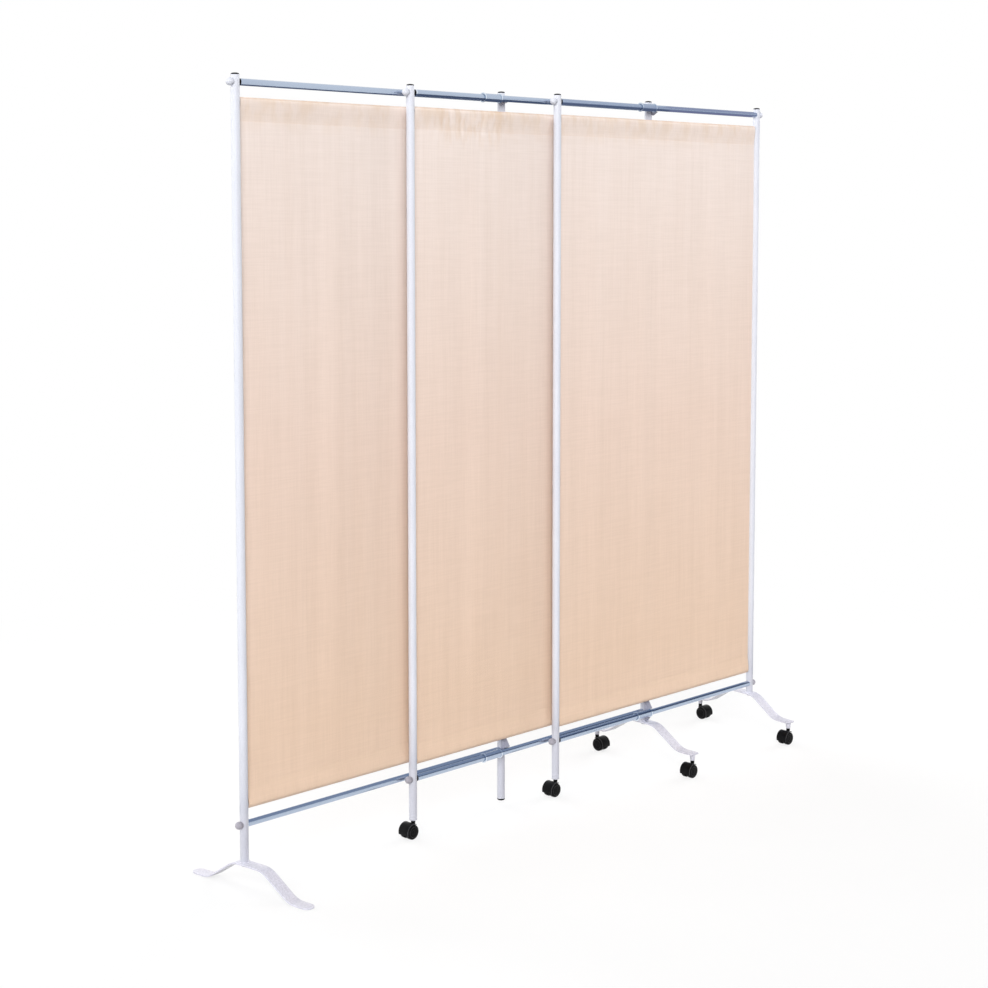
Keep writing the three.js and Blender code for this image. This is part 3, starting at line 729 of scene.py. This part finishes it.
# Rails with saddle-shaped ends, and the black washers that they start with
def saddle(part, centre_x, radius, side):
    """Pushes a tube's end that faces a post on to the post's round wall, side +1 to its right."""
    verts, faces = part
    for vert in verts:
        reach = sqrt(max(radius**2 - vert.y**2, 0)) * side
        if (vert.x - centre_x - reach) * side < 0:
            vert.x = centre_x + reach
    return verts, faces


def make_rail(panel, level):
    """A rail, with a washer at its left end everywhere but on panel A's lower rail."""
    node = f"rail_{panel}_{level}"
    left, y = post_axis(panel, "left")
    width = post_axis(panel, "right").x - left
    place = at(left, y, rail_height(panel, level))
    stations = [RAIL_SINK, POST_RADIUS, width - POST_RADIUS, width - RAIL_SINK]
    section = [(RAIL_RADIUS, s) for s in stations]
    section += [(RAIL_RADIUS - RAIL_WALL, s) for s in reversed(stations)]
    tube = placed(revolved(section, closed=True), ALONG_X)
    tube = saddle(tube, 0, POST_RADIUS - SEATING, 1)
    tube = saddle(tube, width, POST_RADIUS - SEATING, -1)
    add_piece(f"{node}_tube", *placed(tube, place), CHROME, f"panel_{panel}", "rail", [node])
    if node == "rail_a_bottom":
        return
    section = hollow(RAIL_RADIUS - SEATING, WASHER_RADIUS, RAIL_SINK, POST_RADIUS + WASHER_LENGTH)
    washer = saddle(placed(lathe(section, WASHER_EDGE, closed=True), ALONG_X), 0, POST_RADIUS, 1)
    add_piece(f"{node}_washer", *placed(washer, place), RUBBER, f"panel_{panel}", "end_plug")


def make_stop():
    """The rubber stop and its bright ring at the left end of panel B's upper rail."""
    left, y = post_axis("b", "left")
    place = at(left, y, rail_height("b", "top"), ALONG_X)
    begin = POST_RADIUS + WASHER_LENGTH
    for name, start, end, material, slot in (("stop", begin, STOP_END, RUBBER, "end_plug"),
                                             ("stop_ring", STOP_END, STOP_END + STOP_RING, FLANGE, "guide")):
        section = hollow(RAIL_RADIUS - SEATING, RAIL_RADIUS + STOP_PROUD, start, end)
        part = placed(lathe(section, FINE_EDGE, closed=True), place)
        add_piece(f"rail_b_top_{name}", *part, material, "panel_b", slot)


def make_rod(panel, level):
    node = f"curtain_rod_{panel}_{level}"
    low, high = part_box(node)
    y, z = middle(node).yz
    part = lathe(solid(ROD_RADIUS, low.x, high.x), EDGE, segments=SMALL_ROUND)
    part = placed(part, at(0, y, z, ALONG_X))
    add_piece(f"{node}_bar", *part, ZINC, f"panel_{panel}", "curtain_rod", [node])


# Sleeve guides
def bevelled_box(low, high, edge):
    shape = bmesh.new()
    bmesh.ops.create_cube(shape, size=1)
    for vert in shape.verts:
        vert.co = Vector((low[i] + (high[i] - low[i]) * (vert.co[i] + 0.5) for i in range(3)))
    bmesh.ops.bevel(shape, geom=shape.edges[:], offset=edge, segments=2, affect="EDGES", profile=0.5)
    verts = [v.co.copy() for v in shape.verts]
    faces = [tuple(v.index for v in f.verts) for f in shape.faces]
    shape.free()
    return verts, faces


def gusset(x, post_y, rail_y, z, side, reach, half_width):
    """A wedge from the post's front down or up to the sleeve, across the gap between their planes."""
    wall = GUIDE_BORE + GUIDE_WALL - GUSSET_SINK
    out, up = (share * wall for share in GUSSET_HAUNCH_SHARES)
    corners = [(post_y, side * reach), (post_y, side * GUSSET_BACK), (rail_y + wall, side * GUSSET_FRONT),
               (rail_y + out, side * up), (rail_y, side * wall)]
    return lofted([[Vector((x + along, y, z + height)) for y, height in corners]
                   for along in (-half_width, half_width)])


def make_guide(panel, level):
    node = f"guide_{panel}_{level}"
    body = f"panel_{panel}"
    low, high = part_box(node)
    rail_y = low.y + FLANGE_RADIUS
    start, end = low.x, low.x + GUIDE_LENGTH
    z = rail_height(panel, level)
    on_rail = at(0, rail_y, z, ALONG_X)
    section = hollow(GUIDE_BORE, GUIDE_BORE + GUIDE_WALL, start + FLANGE_THICK, end - FLANGE_THICK)
    sleeve = placed(revolved(section, closed=True), on_rail)
    flanges = []
    for face in (start, end - FLANGE_THICK):
        section = hollow(GUIDE_BORE, FLANGE_RADIUS, face, face + FLANGE_THICK)
        flanges.append(placed(lathe(section, PLATE_EDGE, 3, closed=True), on_rail))
    x, y = post_axis(panel, "right")
    strap_back = y - RAIL_RADIUS - STRAP_GAP
    strap_front = rail_y + GUIDE_BORE + STRAP_SINK
    strap_start = end - STRAP_LENGTH
    strap_top = z + STRAP_HALF_HEIGHT
    strap = bevelled_box((strap_start, strap_front, z - STRAP_HALF_HEIGHT),
                         (high.x, strap_back, strap_top), MOULD_EDGE)
    add_piece(f"{node}_sleeve", *joined(sleeve, strap), CHROME, body, "guide", [node])
    plates = [gusset(x + shift, strap_back, rail_y, z, side, reach, half_width)
              for side, reach, half_width, shift in GUSSETS[node]]
    add_piece(f"{node}_bracket", *joined(*plates), BRACKET, body, "guide")
    add_piece(f"{node}_flanges", *joined(*flanges), FLANGE, body, "guide")
    rivets = []
    for share in RIVET_SHARES:
        head = lathe(RIVET_SECTION, RIVET_EDGE, segments=FINE_ROUND)
        rivet_x = strap_start + (end - strap_start) * share
        rivets.append(placed(head, at(rivet_x, (strap_front + strap_back) / 2, strap_top)))
    add_piece(f"{node}_rivets", *joined(*rivets), ZINC, body, "bolt")


# Feet: a flat bar swept along its bends, with rounded tips, sockets and a bolt
def bend_path(length, steps=12):
    """Stations along the bar's middle line, in (y, z), from one end to the other."""
    low = BAR_THICK / 2
    high = low + BAR_DROP
    end, flat, crown = length / 2, FLAT_SPACING / 2, PLATEAU_LENGTH / 2
    corners = [Vector(p) for p in ((-end, low), (-flat, low), (-crown, high),
                                   (crown, high), (flat, low), (end, low))]
    places = [corners[0]]
    for before, corner, after in zip(corners, corners[1:], corners[2:]):
        into, out = (corner - before).normalized(), (after - corner).normalized()
        turn = atan2(into.cross(out), into.dot(out))
        cut = BAR_BEND * tan(abs(turn) / 2)
        side = Vector((-into.y, into.x)) * copysign(BAR_BEND, turn)
        centre = corner - into * cut + side
        for step in range(steps + 1):
            spoke = -side
            spoke.rotate(Matrix.Rotation(turn * step / steps, 2))
            places.append(centre + spoke)
    places.append(corners[-1])
    return places


def resampled(places, spacing, tip, tip_steps=10):
    """Points along the path, denser in the rounded tips, each with its run from the nearer tip."""
    runs = [0.0]
    for here, there in zip(places, places[1:]):
        runs.append(runs[-1] + (there - here).length)
    total = runs[-1]
    ends = [tip * (1 - cos(pi / 2 * i / tip_steps)) for i in range(tip_steps + 1)]
    count = int((total - 2 * tip) / spacing)
    inner = [tip + (total - 2 * tip) * i / count for i in range(1, count)]
    wanted = ends + inner + [total - e for e in reversed(ends)]
    result = []
    index = 0
    for run in wanted:
        while index < len(runs) - 2 and runs[index + 1] < run:
            index += 1
        share = (run - runs[index]) / max(runs[index + 1] - runs[index], 1e-9)
        place = places[index].lerp(places[index + 1], min(max(share, 0), 1))
        along = (places[index + 1] - places[index]).normalized()
        result.append((min(run, total - run), place, along))
    return result


def bar_section(half_width, half_thick, edge, steps=4):
    """Points round a bar's section with rounded edges, (x, across the thickness)."""
    edge = min(edge, half_width * 0.999, half_thick * 0.999)
    points = []
    for quarter, (sx, sy) in enumerate(((1, 1), (-1, 1), (-1, -1), (1, -1))):
        for step in range(steps + 1):
            angle = pi / 2 * (quarter + step / steps)
            points.append((sx * (half_width - edge) + edge * cos(angle),
                           sy * (half_thick - edge) + edge * sin(angle)))
    return points


def foot_frame(panel):
    """The foot's own frame: its origin on the floor under the post, turned as the foot is."""
    x, y = post_axis(panel, "left" if panel == "a" else "right")
    return at(x, y, 0, Matrix.Rotation(radians(FOOT_TURNS_DEG[panel]), 4, "Z"))


def make_foot(panel, length, corner, has_sockets):
    node = f"foot_{panel}"
    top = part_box(node)[1].z
    base = top - BAR_THICK - BAR_DROP
    place_in_room = foot_frame(panel)
    centre_y = -place_in_room.translation.y
    sections = []
    for tip_run, place, along in resampled(bend_path(length), BAR_SPACING, corner):
        inset = corner - sqrt(max(corner**2 - (corner - min(tip_run, corner)) ** 2, 0))
        half_width = max(BAR_HALF_WIDTH - inset, TIP_HALF_WIDTH)
        half_thick = BAR_THICK / 2 - (0 if tip_run > TIP_RUN else TIP_THINNING)
        across = Vector((-along.y, along.x))
        section = []
        for px, thick in bar_section(half_width, half_thick, PLATE_EDGE):
            point = place + across * thick
            section.append(Vector((px, centre_y + point.x, base + point.y)))
        sections.append(section)
    parts = [lofted(sections)]
    for side in (-1, 1) if has_sockets else ():
        stem = at(0, side * STEM_SPACING / 2 + centre_y, base)
        wall = STEM_RADIUS + STEM_PLAY
        socket = [(wall, -SOCKET_LENGTH), (SOCKET_END_RADIUS, -SOCKET_LENGTH),
                  (SOCKET_TOP_RADIUS, SOCKET_SINK), (wall, SOCKET_SINK)]
        parts.append(placed(lathe(socket, CAST_EDGE, 3, SMALL_ROUND, closed=True), stem))
        lid = [(radius, BAR_THICK + up) for radius, up in SOCKET_LID]
        parts.append(placed(revolved(lid, SMALL_ROUND), stem))
    weld = [(POST_RADIUS + out, top + up) for out, up in WELD]
    parts.append(lathe(weld, EDGE, closed=True))
    foot = placed(joined(*parts), place_in_room)
    add_piece(f"{node}_bar", *foot, FOOT_PAINT, f"panel_{panel}", "foot_paint", [node])


def make_bolt(panel):
    node = f"foot_bolt_{panel}"
    low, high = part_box(node)
    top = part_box(f"foot_{panel}")[1].z - BAR_THICK
    head_top = top - BOLT_WASHER_THICK
    rings = ((HEX_RADIUS - HEX_CHAMFER, low.z), (HEX_RADIUS, low.z + HEX_CHAMFER_HEIGHT),
             (HEX_RADIUS, head_top))
    head = lofted([[Vector((radius * cos(angle), radius * sin(angle), height)) for angle in HEX_ANGLES]
                   for radius, height in rings])
    washer = lathe(solid(BOLT_WASHER_RADIUS, head_top, top), FINE_EDGE, segments=SMALL_ROUND)
    shank = lathe(solid(STEM_RADIUS, top, high.z), EDGE, segments=SMALL_ROUND)
    bolt = placed(joined(head, washer, shank), foot_frame(panel))
    add_piece(f"{node}_hex", *bolt, ZINC, f"panel_{panel}", "bolt", [node])


# Casters: housing with its hood, web, neck and stem, and two wheels
def arc_plate(radius_in, radius_out, half_width):
    """A plate curved round the axle, over the part of the wheels that the hood covers."""
    start, end = radians(HOOD_START_DEG), radians(HOOD_END_DEG)
    section = rounded(hollow(radius_in, radius_out, -half_width, half_width), HOOD_EDGE, 3, closed=True)
    return placed(revolved(section, HOOD_STEPS, closed=True, start=start, turn=end - start), ROUND_AXLE)


def make_caster(name):
    stem = Vector(joints[name.replace("caster", "swivel")]["pos_m"])
    spin = joints[name.replace("caster", "spin") + "_1"]
    axis = Vector(spin["axis"])
    centre = Vector(spin["pos_m"]) - axis * (Vector(spin["pos_m"]) - stem).dot(axis)
    trail = (centre - stem).xy
    turn = Matrix.Rotation(atan2(-trail.y, -trail.x), 4, "Z")
    to_axle, to_stem = at(*centre, turn), at(stem.x, stem.y, 0)
    housing = f"{name}_housing"
    hood_in = TREAD_RADIUS + HOOD_GAP
    hood_out = hood_in + HOOD_THICK
    hood = arc_plate(hood_in, hood_out, HOOD_HALF_WIDTH)
    rib = arc_plate(RIB_INNER_RADIUS, hood_in + HOOD_THICK / 2, WEB_HALF)
    web = lathe(solid(WEB_RADIUS, -WEB_HALF, WEB_HALF), CAST_EDGE)
    reach = WHEEL_OUTER - AXLE_INSET
    axle = revolved(solid(AXLE_RADIUS, -reach, reach), AXLE_ROUND)
    shell = placed(joined(hood, rib, placed(joined(web, axle), ALONG_Y)), to_axle)
    top = stem.z - NECK_GAP
    neck = lathe(solid(NECK_RADIUS, top - NECK_LENGTH, top), HOOD_EDGE, 3, SMALL_ROUND)
    plate = bevelled_box((-NECK_PLATE_HALF, -WEB_HALF, top - NECK_PLATE_LENGTH),
                         (NECK_PLATE_HALF, WEB_HALF, top - STEM_SINK), CAST_EDGE)
    shell = joined(shell, placed(neck, to_stem), placed(plate, to_stem @ turn))
    add_piece(f"{housing}_shell", *shell, BLACK, name, "caster_housing", [housing])
    # Thin rims along the hood's edges in the lighter black: a painted highlight
    rim = arc_plate(hood_in - LIP_PROUD, hood_out + LIP_PROUD, LIP_HALF)
    lips = [placed(rim, to_axle @ at(0, side * (HOOD_HALF_WIDTH - LIP_HALF), 0)) for side in (-1, 1)]
    add_piece(f"{housing}_lips", *joined(*lips), HIGHLIGHT_NYLON, name, "caster_housing")
    pin = solid(STEM_RADIUS, top - STEM_SINK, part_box(housing)[1].z)
    pin = placed(lathe(pin, EDGE, segments=SMALL_ROUND), to_stem)
    add_piece(f"{name}_stem", *pin, ZINC, name, "bolt")
    for suffix, angle in (("1", 0), ("2", pi)):
        outward = to_axle @ Matrix.Rotation(angle, 4, "Z") @ ALONG_Y
        make_wheel(f"{name}_wheel_{suffix}", outward, centre.z)


def make_wheel(node, outward, radius):
    """Tread, shoulder, and an outer face with a ring groove and a hub cap."""
    hub = WHEEL_OUTER - HUB_THICK
    tread = [(WHEEL_BORE, hub), (WHEEL_BORE, WHEEL_INNER)]
    tread += [(radius - inset, height) for inset, height in TREAD_SECTION]
    face = [(r, WHEEL_OUTER - depth) for r, depth in FACE_SECTION]
    section = [(0, hub), *rounded(tread, MOULD_EDGE, 3), *rounded(face, EDGE, 2)]
    wheel = placed(revolved(section), outward)
    add_piece(f"{node}_rim", *wheel, BLACK, node, "wheel", [node], sharp_deg=40)
    # A ring in the wheel's outer face in the lighter black: a painted highlight
    start, end = (WHEEL_OUTER - depth for depth in RING_DEPTHS)
    part = placed(lathe(hollow(*RING_RADII, start, end), FINE_EDGE, closed=True), outward)
    add_piece(f"{node}_ring", *part, HIGHLIGHT_NYLON, node, "wheel")


# Curtains
def u_turn(run, radius):
    """Where a sheet that folds back on itself is, (along, back), a run past the start of the fold."""
    half_turn = pi * radius
    if run <= 0:
        return run, 0.0
    if run < half_turn:
        return radius * sin(run / radius), radius * (1 - cos(run / radius))
    return half_turn - run, 2 * radius


def smooth(value, low, high):
    share = min(max((value - low) / (high - low), 0), 1)
    return share * share * (3 - 2 * share)


def near(value, place, width):
    return exp(-(((value - place) / width) ** 2))


class Curtain:
    """The hung cloth of one panel: its size, and where any place on it lies."""

    def __init__(self, panel):
        self.panel = panel
        self.low, self.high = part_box(f"curtain_{panel}")
        self.width = self.high.x - self.low.x
        self.centre_x = (self.low.x + self.high.x) / 2
        self.centre_z = (self.low.z + self.high.z) / 2
        self.y = post_axis(panel, "left").y
        self.rods = [middle(f"curtain_rod_{panel}_{level}").z for level in LEVELS]
        self.seams = (self.high.z - CLOTH_HEM + SEAM_INSET, self.low.z + CLOTH_HEM - SEAM_INSET)
        self.pockets = tuple(zip(self.rods, self.seams, (self.high.z, self.low.z)))
        self.half_x = self.width / 2 - CLOTH_TURN
        self.half_z = (self.high.z - self.low.z) / 2 - CLOTH_TURN
        self.run_x = self.half_x + pi * CLOTH_TURN + CLOTH_SIDE_HEM
        self.run_z = self.half_z + pi * CLOTH_TURN + CLOTH_HEM
        self.seed = 13.7 * PANELS.index(panel)

    def folds(self, x, z, looseness):
        """Long shallow folds down the cloth, weaker towards the hems."""
        share = (x - self.low.x) / self.width
        phase = FOLD_PHASES[self.panel]
        drift = FOLD_DRIFT * sin(tau * (z * 0.35 + phase))
        total = 0.0
        for i, (waves, part) in enumerate(zip(FOLD_WAVES, FOLD_DEPTH_SHARES)):
            total += part * sin(tau * (waves * (share + drift) + phase * (i + 1)))
        return total * FOLD_DEPTH * (HELD_SHARE + (1 - HELD_SHARE) * looseness)

    def gather(self, x, z):
        """Tight folds where the cloth is bunched on its upper rod, from 0 to 1."""
        start, end, strength = GATHERS[self.panel]
        share = (x - self.low.x) / self.width
        zone = smooth(share, start - 0.03, start + 0.03) * smooth(-share, -end - 0.03, -end + 0.03)
        bend = noise.noise(Vector((x * 24, self.seed, z * 9))) * 1.6
        wave = 0.5 + 0.5 * sin(tau * x / GATHER_PITCH + 3 * bend)
        size = max(0.5 + 1.3 * noise.noise(Vector((x * 26, 5 + self.seed, z * 6))), 0)
        return strength * zone * wave * size * smooth(z, self.seams[0] - 0.06, self.seams[0] + 0.025)

    def pocket(self, z):
        """How far the layers of a hem stand apart for the rod in it, from 0 to 1."""
        for rod, seam, edge in self.pockets:
            past_rod = (z - rod) / (edge - rod)
            if past_rod > 0:
                return max(1 - past_rod**2, 0)
            if (z - seam) / (rod - seam) > 0:
                return smooth(z, seam, rod)
        return 0.0

    def place(self, x, z, back_x=0.0, back_z=0.0):
        """The point at x and z, on the front face or, turned back, on a hem behind it."""
        seam = max(near(z, line, SEAM_WIDTH) for line in self.seams)
        band = max(near(z, line, PUCKER_WIDTH) for line in self.seams)
        held = max(near(z, rod, ROD_WIDTH) for rod in self.rods)
        upper, lower = self.seams
        looseness = (smooth(z, lower - HOLD_START, lower + HOLD_REACH)
                     * smooth(-z, -upper - HOLD_START, -upper + HOLD_REACH))
        ripple = sum(size * noise.noise(Vector((x * across, z * along, self.seed)))
                     for across, along, size in RIPPLES)
        pucker = noise.noise(Vector((x * 42, self.seed, z * 9))) * PUCKER_DEPTH * band
        dent = DENT_DEPTH * seam * (0.55 + noise.noise(Vector((x * 30, 3 + self.seed, 0))))
        free = (self.folds(x, z, looseness) + ripple + pucker) * (1 - held) + dent
        out = (ROD_RADIUS + ROD_CLEARANCE) * self.pocket(z) + GATHER_DEPTH * self.gather(x, z)
        turned = back_z / (2 * CLOTH_TURN)
        side = out * (2 * turned - 1)
        return Vector((x, self.y - CLOTH_TURN + free + side + back_x + back_z, z))


def fold_stations(half, full, places):
    """Runs along one direction of a sheet from end to end, with four more round each fold line."""
    arc = [side * (half + pi * CLOTH_TURN * i / 4) for side in (-1, 1) for i in range(5)]
    return sorted(set(round(run, 7) for run in [-full, full, *arc, *places]))


def even_runs(start, end, spacing):
    count = max(round((end - start) / spacing), 1)
    return [start + (end - start) * i / count for i in range(count + 1)]


def cloth_rows(cloth):
    """Runs down the cloth, close together at rods and seams and far apart between them."""
    rows = []
    height = -cloth.half_z
    while height < cloth.half_z:
        z = cloth.centre_z + height
        fine = max(near(z, line, 0.009) for line in (*cloth.rods, *cloth.seams))
        hem = max(near(z, end, 0.075) for end in (cloth.low.z, cloth.high.z))
        rows.append(height)
        height += max(ROW_SPACING * (1 - fine) * (1 - 0.72 * hem), FINE_ROW_SPACING)
    behind = [cloth.half_z + pi * CLOTH_TURN + step for step in even_runs(0, CLOTH_HEM, HEM_ROW_SPACING)]
    return [*rows, *behind, *[-run for run in behind]]


def make_curtain(panel):
    cloth = Curtain(panel)
    spread = even_runs(-cloth.run_x, cloth.run_x, COLUMN_SPACING)
    columns = fold_stations(cloth.half_x, cloth.run_x, spread)
    rows = fold_stations(cloth.half_z, cloth.run_z, cloth_rows(cloth))
    verts = []
    for row in rows:
        along_z, back_z = u_turn(abs(row) - cloth.half_z, CLOTH_TURN)
        z = cloth.centre_z + copysign(cloth.half_z + along_z, row)
        for column in columns:
            along_x, back_x = u_turn(abs(column) - cloth.half_x, CLOTH_TURN)
            x = cloth.centre_x + copysign(cloth.half_x + along_x, column)
            verts.append(cloth.place(x, z, back_x, back_z))
    stride = len(columns)
    faces = []
    for r in range(len(rows) - 1):
        for c in range(stride - 1):
            a = r * stride + c
            faces.append((a, a + 1, a + stride + 1, a + stride))
    node = f"curtain_{panel}"
    piece = add_piece(f"{node}_cloth", verts, faces, CLOTH, f"panel_{panel}", "curtain", [node], 180)
    stitches = make_stitches(cloth)


def make_stitches(cloth):
    """Sewing stitches on both faces, along the hems at the top and bottom and down both sides."""
    low, high = cloth.low, cloth.high
    edges = (low.x + CLOTH_SIDE_HEM - SEAM_INSET, high.x - CLOTH_SIDE_HEM + SEAM_INSET)
    across_runs = even_runs(low.x + STITCH_INSET, high.x - STITCH_INSET, STITCH_PITCH)
    down_runs = even_runs(low.z + STITCH_INSET, high.z - STITCH_INSET, STITCH_PITCH)
    lines = []
    for back in (0, 2 * CLOTH_TURN):
        lines += [[(run, z, 0, back) for run in across_runs] for z in cloth.seams]
        lines += [[(x, run, back, 0) for run in down_runs] for x in edges]
    verts, faces = [], []
    for line in lines:
        outward = -1 if line[0][2] + line[0][3] == 0 else 1
        for here, there in zip(line, line[1:]):
            start = cloth.place(*here)
            end = start.lerp(cloth.place(*there), STITCH_SHARE)
            centre = (start + end) / 2 + Vector((0, outward * STITCH_RADIUS * 0.5, 0))
            along = (end - start).normalized()
            across = along.cross(Vector((0, 1, 0))) * STITCH_RADIUS
            lift = Vector((0, STITCH_RADIUS, 0))
            first = len(verts)
            verts += [start, end, centre + across, centre + lift, centre - across, centre - lift]
            for k in range(4):
                a, b = first + 2 + k, first + 2 + (k + 1) % 4
                faces += [(first, a, b), (first + 1, b, a)]
    panel = cloth.panel
    return add_piece(f"curtain_{panel}_stitches", verts, faces, THREAD, f"panel_{panel}", "curtain")


for panel in PANELS:
    for side, outward in SIDES:
        make_post(panel, side, outward)
        make_plug(panel, side)
    for level in LEVELS:
        make_rail(panel, level)
        make_rod(panel, level)
    if panel == "a":
        make_foot(panel, STAND_LENGTH, BAR_HALF_WIDTH, False)
    else:
        make_foot(panel, TROLLEY_LENGTH, TROLLEY_CORNER, True)
    make_bolt(panel)
for panel in ("a", "b"):
    for level in LEVELS:
        make_guide(panel, level)
make_tip()
make_stop()
for name in CASTERS:
    make_caster(f"caster_{name}")
for panel in PANELS:
    make_curtain(panel)


# Stage: a pale floor, cards that only reflections see, soft lights
def add_plane(name, corners, material):
    mesh = bpy.data.meshes.new(name)
    mesh.from_pydata(corners, [], [(0, 1, 2, 3)])
    mesh.materials.append(material)
    plane = new_object(name, mesh)
    return plane


def seen_directly(tree):
    """1 for rays from the camera, in mirrors and through glass, 0 for the light on the object."""
    path = tree.nodes.new("ShaderNodeLightPath")
    total = path.outputs["Is Camera Ray"]
    for name in ("Is Glossy Ray", "Is Transmission Ray"):
        total = combined(tree, "MAXIMUM", total, path.outputs[name])
    return total


def floor_material():
    """A white sweep: where it is seen it is mostly its own light, so that only shadows show on it."""
    material, tree, shader = new_material("studio_floor")
    stops = ((0.3, (0.79, 0.79, 0.795)), (0.7, (0.81, 0.81, 0.815)))
    pale = ramp(tree, noise_at(tree, 3, 2), stops)
    bounce = span(tree, seen_directly(tree), FLOOR_BOUNCE, 1.0)
    feed(multiply(tree, pale, bounce), shader, "Base Color")
    shader.inputs["Roughness"].default_value = 0.9
    shader.inputs["Specular IOR Level"].default_value = 0.0
    glow = tree.nodes.new("ShaderNodeEmission")
    away = tree.nodes.new("ShaderNodeVectorMath")
    away.operation = "LENGTH"
    feed(own_place(tree), away, 0)
    share = add_node(tree, "ShaderNodeMapRange", From_Min=FLOOR_NEAR, From_Max=FLOOR_FAR,
                     To_Min=FLOOR_GLOW, To_Max=1.0)
    share.interpolation_type = "SMOOTHSTEP"
    feed(away.outputs["Value"], share, "Value")
    amount = combined(tree, "MULTIPLY", seen_directly(tree), share.outputs["Result"])
    mix = tree.nodes.new("ShaderNodeMixShader")
    feed(amount, mix, "Fac")
    feed(shader.outputs["BSDF"], mix, 1)
    feed(glow.outputs["Emission"], mix, 2)
    feed(mix.outputs["Shader"], tree.nodes["Material Output"], "Surface")
    return material


def add_strip(name, start, end, near_y, far_y, z, colour):
    """A studio card along the screen, which only reflections in the plated tubes see."""
    material, tree, shader = new_material(name)
    tree.nodes.remove(shader)
    glow = tree.nodes.new("ShaderNodeEmission")
    glow.inputs["Color"].default_value = (*colour, 1)
    feed(glow.outputs["Emission"], tree.nodes["Material Output"], "Surface")
    corners = [(start, near_y, z), (end, near_y, z), (end, far_y, z), (start, far_y, z)]
    strip = add_plane(name, corners, material)
    strip.visible_camera = False
    strip.visible_diffuse = False
    strip.visible_shadow = False
    strip.visible_transmission = False


def add_soft_sun(name, azimuth_deg, elevation_deg, spread_deg, strength):
    """A very large far softbox: its place is the angle left of straight ahead and the height."""
    light = bpy.data.lights.new(name, "SUN")
    light.angle = radians(spread_deg)
    light.energy = strength
    holder = new_object(name, light)
    around, up = radians(azimuth_deg), radians(elevation_deg)
    place = Vector((-sin(around) * cos(up), -cos(around) * cos(up), sin(up)))
    holder.rotation_mode = "QUATERNION"
    holder.rotation_quaternion = (-place).to_track_quat("-Z", "Y")
    holder.location = place * SUN_DISTANCE
    holder.visible_glossy = False


def make_world():
    world = bpy.data.worlds.new("studio")
    bpy.context.scene.world = world
    world.use_nodes = True
    tree = world.node_tree
    background = tree.nodes["Background"]
    background.inputs["Color"].default_value = (1, 1, 1, 1)
    feed(span(tree, seen_directly(tree), WORLD_LIGHT, 1.0), background, "Strength")


floor_corners = [(x * FLOOR_HALF, y * FLOOR_HALF, 0) for x, y in ((-1, -1), (1, -1), (1, 1), (-1, 1))]
add_plane("floor", floor_corners, floor_material())
for name, setting in STRIPS.items():
    add_strip(name, *setting)
for name, setting in SOFT_SUNS.items():
    add_soft_sun(name, *setting)
make_world()

lens = bpy.data.cameras.new("camera")
lens.sensor_width = SENSOR_WIDTH
lens.lens = FOCAL_PIXELS * SENSOR_WIDTH / IMAGE_SIZE
lens.shift_y = CAMERA_SHIFT
lens.clip_end = VIEW_DEPTH
camera = new_object("camera", lens)
camera.location = CAMERA_AT
yaw, pitch = radians(CAMERA_YAW_DEG), radians(CAMERA_PITCH_DEG)
forward = Vector((cos(yaw) * cos(pitch), sin(yaw) * cos(pitch), -sin(pitch)))
camera.rotation_mode = "QUATERNION"
camera.rotation_quaternion = forward.to_track_quat("-Z", "Y")
bpy.context.scene.camera = camera
bpy.context.scene.view_settings.view_transform = "Standard"
